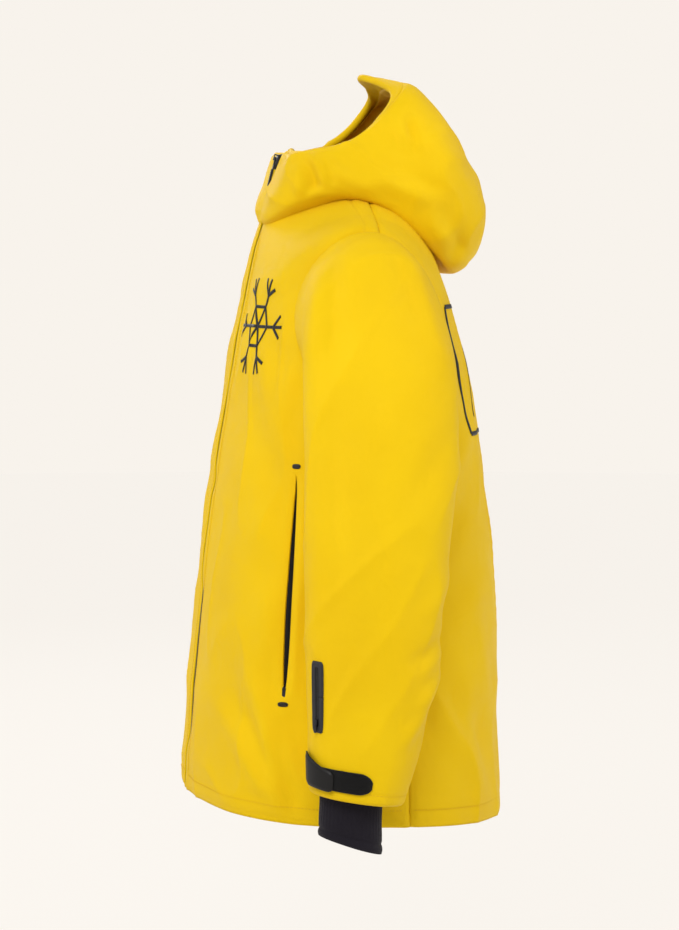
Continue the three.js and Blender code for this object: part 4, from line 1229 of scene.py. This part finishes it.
def sleeve_relief(seed):
    """A sleeve's folds, its puckered head, its back seam and its hem, with flat spots at the cuff."""

    def relief(points, u, v):
        down = v * SLEEVE_LENGTH
        up = (1 - v) * SLEEVE_LENGTH
        height = 1.4 * folds(points, SLEEVE_RIDGES) * smooth(v, 0.01, 0.06)
        height += ripple(points, 0.15, 0.0032, seed) + ripple(points, 0.05, 0.0010, seed + 1)
        turned = points - np.array([0, 0.45, 0]) * points[:, 2:]
        height += creases(turned, 0.070, (1, 1, 2.6), 0.0021, seed + 2) * smooth(v, 0.05, 0.15)
        height *= smooth(v, 0, 0.05) * (1 - 0.85 * flat_spots(points, u, v, seed))
        height += groove(down, 0.0022, 0.0042) + 0.0022 * np.exp(-(((down - 0.014) / 0.011) ** 2))
        pucker = np.sin(u * math.tau * 46 + np.sin(u * 31) * 2)
        height += 0.0005 * pucker * np.exp(-(((down - 0.006) / 0.007) ** 2))
        back_seam = np.mod(u - 0.70, 1.0) * SLEEVE_GIRTH
        back_seam = np.minimum(back_seam, SLEEVE_GIRTH - back_seam)
        height += groove(back_seam, 0.0012, 0.0028)
        height += groove(up - 0.020, 0.0007, 0.0022) + groove(up, 0.0016, 0.0034)
        return height

    return relief


def bent_at_shoulder(piece, side, stem):
    """Bakes the piece's place into its mesh; nothing here bends it at the shoulder or moves it with the
    arm.
    """
    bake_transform(piece)


sleeves, sleeve_faces = [], {}
for side, stem, seed in SLEEVES:
    face = sided(raised(sleeve_skin, sleeve_relief(seed)), side)
    sleeve = cloth(f"sleeve_{stem}", 150, 200, face, (SLEEVE_GIRTH, SLEEVE_LENGTH), closed=True)
    walled(sleeve, WALL)
    worn(sleeve, None, "yellow_shell", yellow_cloth, f"sleeve_shell_{stem}")
    bent_at_shoulder(sleeve, side, stem)
    sleeves.append(sleeve)
    sleeve_faces[stem] = face

# ---------------------------------------------------------------- sleeve linings
# Each sleeve is lined with the body's taffeta, from the armhole to the cuff's hem, where the two are
# sewn together. The lining follows the outer cloth's folds.
FRAME_ROOM = 0.003


def sleeve_inside(seed):
    """The inner face of a sleeve. On the left it gives way behind the forearm pocket's frame."""

    def place(u, v):
        share = mix(0.012, 0.982, v)
        points = sleeve_skin(u, share)
        drop = settled(sleeve_relief(seed)(points, u, share)) - LINING_DEPTH
        room = smooth(u * 360, 30, 48) * (1 - smooth(u * 360, 78, 96)) * (seed == LEFT_SEED)
        room = room * smooth(-points[:, 2], 0.470, 0.486) * (1 - smooth(-points[:, 2], 0.580, 0.596))
        return points + outward(sleeve_skin, u, share) * (drop - FRAME_ROOM * room)[:, None]

    return place


for side, stem, seed in SLEEVES:
    inside = sided(sleeve_inside(seed), side)
    lining = cloth(f"lining_sleeve_{stem}", 84, 100, inside, (SLEEVE_GIRTH, SLEEVE_LENGTH), closed=True)
    walled(lining, LINING_WALL)
    worn(lining, None, "lining", lining_cloth, f"sleeve_lining_{stem}")
    bent_at_shoulder(lining, side, stem)

# ---------------------------------------------------------------- wrist gaiters
# A stretch knit gaiter is sewn to the lining inside each cuff, narrows to the wrist and ends in a
# turned edge, held by two rows of stitching.
GAITER_START = 0.90
GAITER_DEEP = 0.068
GAITER_LONG = 0.062
KNIT_DARK, KNIT_LIGHT = (0.0105, 0.0085, 0.0135), (0.0135, 0.011, 0.017)
wrist_knit = cloth_material(
    "wrist_knit_cloth", KNIT_DARK, KNIT_LIGHT, 0.8, 750.0, 0.0002, 90.0, 0.0006, 0.08, 0.15
)


def gaiter_skin(u, v):
    """The left gaiter's outer face, from its seam inside the sleeve to its edge below the cuff."""
    turn = math.tau * u
    middle_x = (SLEEVE_OUTER + 0.014 + CUFF_INNER) / 2
    front = mix(-0.071, -0.073, v)
    middle = front + GAITER_DEEP / 2
    y = middle - GAITER_DEEP / 2 * np.sin(turn)
    x = middle_x + 0.026 * np.cos(turn)
    low = -SLEEVE_END - GAITER_LONG + 0.004 - 0.33 * (y - middle)
    free = np.stack([x, y, mix(-SLEEVE_END + 0.026, low, v)], -1)
    sewn = sleeve_skin(u, 0 * v + GAITER_START)
    front_end = sleeve_point(0 * v + math.pi / 2, GAITER_START)
    back_end = sleeve_point(0 * v - math.pi / 2, GAITER_START)
    centre = (front_end + back_end) / 2
    inwards = (centre - sewn) * [1, 1, 0]
    inwards /= np.linalg.norm(inwards, axis=-1, keepdims=True)
    sewn = sewn + inwards * 0.0075
    return mix(sewn, free, smooth(v, 0, 0.42)[:, None])


def gaiter_relief(points, u, v):
    """The knit's ribs, the two rows of stitching and the turned edge."""
    from_end = (1 - v) * 0.11
    height = 0.00012 * np.cos(u * math.tau * 44) * smooth(from_end, 0.012, 0.03)
    height += groove(from_end - 0.013, 0.0009, 0.0014) + groove(from_end - 0.0105, 0.0005, 0.0008)
    height += 0.0009 * np.exp(-(((from_end - 0.005) / 0.005) ** 2))
    height += ripple(points, 0.035, 0.0016, 41.0) * smooth(v, 0.1, 0.3)
    return height


lifted_gaiter = raised(gaiter_skin, gaiter_relief)
for side, stem in SIDES:
    knit = sided(lifted_gaiter, side)
    gaiter = walled(cloth(f"knit_gaiter_{stem}", 264, 70, knit, (0.20, 0.11), closed=True), 0.0014)
    worn(gaiter, f"sleeve_{stem}", "wrist_knit", wrist_knit, f"wrist_gaiter_{stem}")

# ---------------------------------------------------------------- cuff tabs
# A fuzzy patch of loops is stitched round the outer side of each cuff. A stiff rubbery tab is sewn
# down in front of it and closes over it with a small pad of hooks.
tab_rubber = moulded("cuff_tab_rubber", (0.0075, 0.0068, 0.0066), 0.46, 0.0, 700.0, 0.00008)
PILE_DARK, PILE_LIGHT = (0.0075, 0.007, 0.007), (0.0105, 0.0095, 0.0095)
loop_pile = cloth_material(
    "loop_pile", PILE_DARK, PILE_LIGHT, 0.95, 1300.0, 0.0005, 700.0, 0.0012, 0.12, 0.1
)


def on_cuff(turn0, turn1, shape, lift):
    """A patch of the cuff's face between two turns in degrees, lifted off it."""

    def place(u, v):
        turn, share = mix(turn0, turn1, u) / 360, shape(u, v)
        return sleeve_skin(turn, share) + outward(sleeve_skin, turn, share) * lift(u, v)[:, None]

    return place


def round_tip(u, length):
    """0 at the tip of a round end of a length in u, 1 past it."""
    return np.sqrt(np.clip(1 - (1 - np.clip(u / length, 0, 1)) ** 2, 0, 1))


def patch_shape(u, v):
    """The patch is a straight band with a round end at the back."""
    middle, half = (0.925 + 0.968) / 2, (0.968 - 0.925) / 2
    return middle + (2 * v - 1) * half * np.maximum(round_tip(u, 0.14), 0.25)


def pad_shape(u, v):
    """The pad is a plain block, a little narrower than the tab."""
    middle, half = (0.925 + 0.962) / 2, (0.962 - 0.925) / 2
    return middle + (2 * v - 1) * half


def tab_shape(u, v):
    """The tab is a blunt wedge: deep at the front, where it is sewn down, narrower at its round end."""
    top = mix(0.928, 0.904, smooth(u, 0.0, 0.95))
    bottom = mix(0.974, 0.966, u)
    corner = 0.010 * (1 - round_tip(u, 0.16))
    return mix(top + corner, bottom - corner, v)


def inner(u, v, edge_u, edge_v):
    """0 at the unit square's edges and 1 inside them."""
    return smooth(np.minimum(u, 1 - u), 0, edge_u) * smooth(np.minimum(v, 1 - v), 0, edge_v)


def pillow(low, high, edge=0.06):
    """A lift that is lower near the piece's edges, as a moulded piece's rounded rim is."""
    return lambda u, v: low + (high - low) * inner(u, v, edge, edge * 2.2)


def tab_lift(u, v):
    """Low at the sewn front end, over the pad behind it, and lower round its moulded rim."""
    return mix(0.0040, 0.0014, smooth(u, 0.66, 0.98)) + 0.0012 * inner(u, v, 0.06, 0.14)


for side, stem in SIDES:
    band = sided(on_cuff(-4, 84, patch_shape, pillow(0.0006, 0.0014, 0.03)), side, swapped=True)
    patch = walled(cloth(f"loop_patch_{stem}", 70, 22, band, (0.08, 0.025)), 0.0014)
    worn(patch, f"sleeve_{stem}", "hook_and_loop", loop_pile, f"cuff_loop_patch_{stem}")
    hooks = sided(on_cuff(46, 72, pad_shape, pillow(0.0022, 0.0026)), side, swapped=True)
    pad = walled(cloth(f"hook_pad_{stem}", 24, 16, hooks, (0.035, 0.022)), 0.0008)
    worn(pad, f"cuff_tab_{stem}", "hook_and_loop", loop_pile, f"cuff_hook_pad_{stem}")
    wedge = sided(on_cuff(36, 90, tab_shape, tab_lift), side, swapped=True)
    tab = walled(cloth(f"closing_tab_{stem}", 60, 34, wedge, (0.07, 0.036)), 0.0013)
    worn(tab, f"cuff_tab_{stem}", "cuff_tab", tab_rubber, f"cuff_tab_{stem}")

# ---------------------------------------------------------------- hand pockets
# Each hand pocket opens by a straight slit in the front, with a coil zip behind it, a cloth bag inside
# and a dense bar of stitches across each end.
FLANK_RADIUS = 0.19
BASE = 0.8
COIL_PITCH = 0.0017


def pocket_skin(u, v):
    """The body beside the left pocket: u in metres towards the back, v in metres above -BASE."""
    angle = POCKET_TURN + u / FLANK_RADIUS
    return body_point(angle, level_at(angle, v - BASE))


def beside_pocket(seed, across, low, high, lift):
    """A piece of the panel's face over the slit, across wide, between two drops, lifted off it."""
    face = raised(pocket_skin, lambda points, u, v: plain_relief(points, seed))

    def place(u, v):
        span = mix(-across / 2, across / 2, u)
        up = BASE - mix(low, high, v)
        rise = lift(u, v) if callable(lift) else lift
        return face(span, up) + outward(pocket_skin, span, up) * np.reshape(rise + 0 * u, (-1, 1))

    return place


def pill(place):
    """The unit square of the place drawn in to a rounded bar."""

    def rounded(u, v):
        half = np.sqrt(np.clip(1 - np.abs(2 * u - 1) ** 3.5, 0.02, 1))
        return place(u, 0.5 + (v - 0.5) * half)

    return rounded


def bag_skin(u, v):
    """The body's face in front of the left pocket, under which the bag hangs."""
    angle = np.radians(mix(26, 64, u))
    z = mix(-POCKET_BOTTOM - 0.014, -POCKET_TOP, v)
    return body_point(angle, level_at(angle, z))


BAG_DARK, BAG_LIGHT = (0.016, 0.014, 0.022), (0.022, 0.019, 0.030)
bag_cloth = cloth_material("pocket_bag_cloth", BAG_DARK, BAG_LIGHT, 0.75, 1200.0, 0.0002)
BAR_DARK, BAR_LIGHT = (0.012, 0.011, 0.011), (0.02, 0.018, 0.018)
thread_bar = cloth_material("bar_stitching", BAR_DARK, BAR_LIGHT, 0.6, 1500.0, 0.0006, 500.0, 0.0004, 0.1)
for side, stem, seed in FRONTS:
    long_tape = beside_pocket(seed, 0.020, POCKET_BOTTOM + 0.003, POCKET_TOP - 0.003, -0.0044)
    tape = walled(cloth(f"pocket_tape_{stem}", 8, 70, sided(long_tape, side), (0.02, 0.25)), 0.0008)
    worn(tape, "torso", "zip_tape", tape_cloth, f"hand_pocket_zip_{stem}")
    coil_drops = np.arange(POCKET_TOP + 0.004, POCKET_BOTTOM - 0.004, COIL_PITCH)
    rows = []
    for across in (-0.0011, 0.0011):
        line = beside_pocket(seed, 2 * abs(across), 0, 1, -0.0040)
        drops = coil_drops + (COIL_PITCH / 2 if across > 0 else 0)
        spots = line(np.full(len(drops), 0.0 if across < 0 else 1.0), drops)
        for spot in spots * [side, 1, 1]:
            rows.append(((0, 1, 0), (side, 0, 0), (0, 0, 1), spot))
    coil = repeated(f"pocket_coil_{stem}", small_block((0.0028, 0.0012, 0.0009), 0.0003), rows)
    worn(coil, "torso", "zip_tape", tooth_plastic)
    for end, drop in (("top", POCKET_TOP - 0.0054), ("bottom", POCKET_BOTTOM + 0.0054)):
        rise = pillow(0.0004, 0.0013, 0.14)
        bar = sided(pill(beside_pocket(seed, 0.014, drop + 0.0027, drop - 0.0027, rise)), side)
        tack = walled(cloth(f"pocket_{end}_tack_{stem}", 36, 16, bar, (0.014, 0.0054)), 0.0012)
        worn(tack, "torso", "bartack", thread_bar, f"hand_pocket_{end}_tack_{stem}")

    def bag_relief(points, u, v, seed=seed):
        return plain_relief(points, seed) * 0.8 - 0.0090

    hung = sided(raised(bag_skin, bag_relief), side)
    bag = walled(cloth(f"pocket_bag_{stem}", 50, 70, hung, (0.15, 0.26)), 0.0014)
    worn(bag, "torso", "inner_fabric", bag_cloth, f"hand_pocket_bag_{stem}")
    runner = f"hand_pocket_slider_{stem}"
    worn(refined(runner, f"pocket_slider_{stem}", 0.0003), runner, "zip_slider", gunmetal, runner)

# ---------------------------------------------------------------- forearm pocket
# A rubber frame is welded on the left forearm round a short zip for a lift pass. Its face has a
# raised ridge round the slot.
FOREARM_TURN = 62
FOREARM_MIDDLE = 0.531
FOREARM_RADIUS = 0.052
dark_rubber = moulded("frame_rubber", (0.028, 0.027, 0.030), 0.5, 0.0, 1200.0, 0.00006)
share_table = np.linspace(0.4, 1, 400)
drop_table = -sleeve_point(np.full(400, math.radians(FOREARM_TURN)), share_table)[:, 2]


def on_forearm(across, drop, lift):
    """A place on the left forearm: across from the pocket's line, below the neck and off the cloth."""
    share = np.interp(drop, drop_table, share_table)
    turn = (FOREARM_TURN - np.degrees(across / FOREARM_RADIUS)) / 360
    points = sleeve_skin(turn, share)
    height = sleeve_relief(LEFT_SEED)(points, turn, share) + lift
    return points + outward(sleeve_skin, turn, share) * height[:, None]


FRAME_SQUARE = 0.24
loop_turns = np.linspace(0, math.tau, 20001)
loop_wide = 0.0054 * power(np.cos(loop_turns), FRAME_SQUARE)
loop_long = 0.0345 * power(np.sin(loop_turns), FRAME_SQUARE)
wide_steps = np.diff(loop_wide, prepend=loop_wide[0])
long_steps = np.diff(loop_long, prepend=loop_long[0])
loop_run = np.cumsum(np.hypot(wide_steps, long_steps))


def frame_ring(u, v):
    """Round the frame by u, from the slot's edge to the outer edge by v."""
    turn = np.interp(u * loop_run[-1], loop_run, loop_turns)
    wide, long = mix(0.0023, 0.0085, v), mix(0.0310, 0.0380, v)
    across = wide * power(np.cos(turn), FRAME_SQUARE)
    drop = long * power(np.sin(turn), FRAME_SQUARE)
    rim = smooth(np.minimum(v, 1 - v), 0, 0.16)
    lift = 0.0007 + 0.0011 * rim + 0.0007 * np.exp(-(((v - 0.62) / 0.09) ** 2))
    return on_forearm(across, FOREARM_MIDDLE + drop, lift)


welt = cloth("forearm_frame", 220, 26, frame_ring, (0.18, 0.007), closed=True)
walled(welt, 0.0012)
worn(welt, "sleeve_left", "pocket_welt", dark_rubber, "sleeve_pocket_welt")


def forearm_strip(u, v):
    """The short zip in the frame's slot, ribbed along its middle."""
    drop = FOREARM_MIDDLE + mix(0.0315, -0.0315, v)
    ribs = 0.0006 * np.abs(np.sin(v * 130)) * (np.abs(u - 0.5) < 0.3)
    return on_forearm(mix(-0.0026, 0.0026, u), drop, 0.0004 + ribs)


forearm_zip = cloth("forearm_zip", 10, 320, forearm_strip, (0.005, 0.063))
walled(forearm_zip, 0.0006)
worn(forearm_zip, "sleeve_left", "zip_tape", tooth_plastic, "sleeve_pocket_zip")
forearm_slider = refined("sleeve_pocket_slider", "forearm_slider", 0.0002)
worn(forearm_slider, "forearm_pocket_slider", "zip_slider", gunmetal, "sleeve_pocket_slider")

# ---------------------------------------------------------------- snow skirt
# A light skirt hangs inside the body from a seam at the waist. A rubbery strip round its lower edge
# grips the trousers. It is open at the front, behind the zip.
SKIRT_TOP = -waist + 0.030
SKIRT_DROP = 0.110
SKIRT_START = 0.235
SKIRT_FLAT = (1.13, 0.11)
skirt_cloth = cloth_material(
    "snow_skirt_cloth", (0.018, 0.015, 0.025), (0.026, 0.022, 0.034), 0.6, 1500.0, 0.00015, 80.0, 0.001
)


def skirt_place(from_share, to_share, extra):
    """The skirt's face between two shares of its depth, from its lower edge up, extra further in."""

    def skin(u, v):
        angle = mix(SKIRT_START, math.tau - SKIRT_START, u)
        share = mix(from_share, to_share, v)
        z = -SKIRT_TOP - SKIRT_DROP * (1 - share)
        return body_point(angle, level_at(angle, z))

    def inward(points, u, v):
        angle = mix(SKIRT_START, math.tau - SKIRT_START, u)
        degrees = np.degrees(np.minimum(angle, math.tau - angle))
        share = mix(from_share, to_share, v)
        seam = settled(plain_relief(points, BACK_SEED)) * share
        gathers = 0.0022 * np.sin(u * 150 + 2 * np.sin(u * 37)) * (1 - share)
        hang = 0.0068 + 0.024 * (1 - share) + pocket_room(degrees, points[:, 2]) * 1.05
        return seam + gathers - hang - extra

    return raised(skin, inward)


skirt = cloth("waist_skirt", 260, 30, skirt_place(0, 1, 0), SKIRT_FLAT)
walled(skirt, 0.0008)
worn(skirt, "torso", "inner_fabric", skirt_cloth, "snow_skirt")
grip_strip = cloth("skirt_gripper", 260, 8, skirt_place(0.01, 0.2, 0.0011), (1.10, 0.02))
walled(grip_strip, 0.0008)
worn(grip_strip, "torso", "gripper", black_rubber, "snow_skirt_gripper")

# ---------------------------------------------------------------- printed marks
# A plain snow crystal is printed on the left of the chest, and a frame of bars across the shoulders.
# Both are thin layers of black ink on the cloth.
ink = moulded("black_ink", (0.013, 0.012, 0.012), 0.48, 0.0, 900.0, 0.00004)


def face_skin(facing, seed, from_edge):
    """The front or back of the body by x and height: u is x, v is z + BASE."""

    def skin(u, v):
        x, z = np.abs(u * facing), v - BASE
        angle = 0 * x + (0.5 if facing > 0 else math.pi - 0.5)
        for _ in range(6):
            level = level_at(angle, z)
            row = body_row(level)
            lean = np.arcsin(np.clip(x / row[1], 0, 0.999) ** (row[6] / 2))
            angle = lean if facing > 0 else math.pi - lean
        points = body_point(angle, level_at(angle, z))
        points[:, 0] *= np.sign(u * facing)
        return points

    def relief(points, u, v):
        far = np.full(len(points), 1.0)
        near = np.abs(points[:, 0]) if from_edge else far
        return body_relief(points, near, far, seed) + 0.0003

    return raised(skin, relief)


def printed(name, lines, width, skin):
    """Straight bars from x, z to x, z on a face, as one thin layer."""
    points, faces = [], []
    for x0, z0, x1, z1 in lines:
        length = math.hypot(x1 - x0, z1 - z0)
        steps = max(2, int(length / 0.003))
        t, s = np.meshgrid(np.linspace(0, 1, steps + 1), np.linspace(-0.5, 0.5, 3), indexing="ij")
        nx, nz = (z1 - z0) / length * width, -(x1 - x0) / length * width
        first = sum(len(block) for block in points)
        x, z = mix(x0, x1, t) + s * nx, mix(z0, z1, t) + s * nz
        points.append(skin(x.ravel(), z.ravel() + BASE))
        for i in range(steps):
            for j in range(2):
                a = first + i * 3 + j
                faces.append((a, a + 1, a + 4, a + 3))
    mesh = bpy.data.meshes.new(name)
    mesh.from_pydata(np.concatenate(points).tolist(), [], faces)
    piece = piece_of(name, mesh)
    in_edit(bpy.ops.mesh.flip_normals)
    bpy.ops.object.shade_smooth()
    walled(piece, 0.0004)
    return worn(piece, "torso", "cuff_tab", ink)


CRYSTAL_MIDDLE, CRYSTAL_REACH = (0.088, -0.144), 0.060


def spoke(start, reach, angle):
    """The far end of a bar from x, z, at an angle from upright."""
    return start[0] + reach * math.sin(angle), start[1] + reach * math.cos(angle)


crystal = []
for k in range(6):
    angle = math.radians(60 * k + 30)
    following = angle + math.radians(60)
    corner = spoke(CRYSTAL_MIDDLE, 0.42 * CRYSTAL_REACH, angle)
    root = spoke(CRYSTAL_MIDDLE, 0.66 * CRYSTAL_REACH, angle)
    crystal.append((*CRYSTAL_MIDDLE, *spoke(CRYSTAL_MIDDLE, CRYSTAL_REACH, angle)))
    crystal.append((*corner, *spoke(CRYSTAL_MIDDLE, 0.42 * CRYSTAL_REACH, following)))
    for turn in (-40, 40):
        crystal.append((*root, *spoke(root, 0.32 * CRYSTAL_REACH, angle + math.radians(turn))))
printed("chest_crystal", crystal, 0.0034, face_skin(1, 1.0, True))

BARS_HALF, BARS_TOP, BARS_BOTTOM = 0.143, -0.122, -0.264
bars = [
    (-BARS_HALF, BARS_TOP, BARS_HALF, BARS_TOP),
    (-BARS_HALF, BARS_BOTTOM, BARS_HALF, BARS_BOTTOM),
    (-BARS_HALF, BARS_BOTTOM, -BARS_HALF, BARS_TOP),
    (BARS_HALF, BARS_BOTTOM, BARS_HALF, BARS_TOP),
]
for k in range(5):
    x = mix(-BARS_HALF + 0.030, BARS_HALF - 0.054, k / 4)
    bars.append((x, BARS_BOTTOM + 0.018, x + 0.024, BARS_TOP - 0.018))
printed("back_bars", bars, 0.0048, face_skin(-1, BACK_SEED, False))

# ---------------------------------------------------------------- stitching
# Rows of thread hold the hems, the front edges, the cuffs and the hood's rim. Each stitch is a small
# bar with softened edges.
thread = moulded("yellow_thread", (0.72, 0.44, 0.006), 0.6)
STITCH_STEP = 0.0042
STITCH_LIFT = 0.0002
HEM_ROW = 0.0305
EDGE_ROW = 0.0165
CUFF_ROW = 0.967
RIM_ROW = 0.91


def stitched(name, place, u_path, v_path):
    """A row of stitches along a path of u and v on a face."""
    t = np.linspace(0, 1, 1500)
    line = place(u_path(t), v_path(t))
    run = np.concatenate([[0], np.cumsum(np.linalg.norm(np.diff(line, axis=0), axis=1))])
    at = np.interp(np.arange(STITCH_STEP, run[-1] - STITCH_STEP, STITCH_STEP), run, t)
    u, v = u_path(at), v_path(at)
    spots, out = place(u, v), outward(place, u, v)
    after, before = at + 0.0008, at - 0.0008
    ahead = place(u_path(after), v_path(after)) - place(u_path(before), v_path(before))
    ahead /= np.linalg.norm(ahead, axis=1, keepdims=True)
    beside = np.cross(out, ahead)
    frames = [(a, b, c, p + c * STITCH_LIFT) for a, b, c, p in zip(ahead, beside, out, spots)]
    return repeated(name, small_block((0.0031, 0.0006, 0.0006), 0.0002), frames)


def fixed(share):
    return lambda t: 0 * t + share


def running(start, end):
    return lambda t: mix(start, end, t)


for side, stem in SIDES:
    face = front_faces[stem]
    edge = EDGE_ROW if side > 0 else 1 - EDGE_ROW
    hem = stitched(f"hem_stitches_{stem}", face, running(0.01, 0.99), fixed(HEM_ROW))
    placket = stitched(f"edge_stitches_{stem}", face, fixed(edge), running(0.035, 0.985))
    for row in (hem, placket):
        worn(row, "torso", "yellow_shell", thread)
    cuff_row = stitched(f"cuff_stitches_{stem}", sleeve_faces[stem], running(0, 1), fixed(CUFF_ROW))
    worn(cuff_row, f"sleeve_{stem}", "yellow_shell", thread)
hem = stitched("hem_stitches_back", back_face, running(0.005, 0.995), fixed(HEM_ROW))
worn(hem, "torso", "yellow_shell", thread)
rim_row = stitched("rim_stitches", hood_outer, running(0.02, 0.98), fixed(RIM_ROW))
worn(rim_row, None, "yellow_shell", thread)
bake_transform(rim_row)
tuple(HOOD_BEND_START)
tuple(HOOD_BEND_END)

# ---------------------------------------------------------------- insulated pieces
# The insulated pieces are gone through in a loop that does nothing to them.
for piece in (front_panels["left"], front_panels["right"], back_panel, hood, *sleeves):
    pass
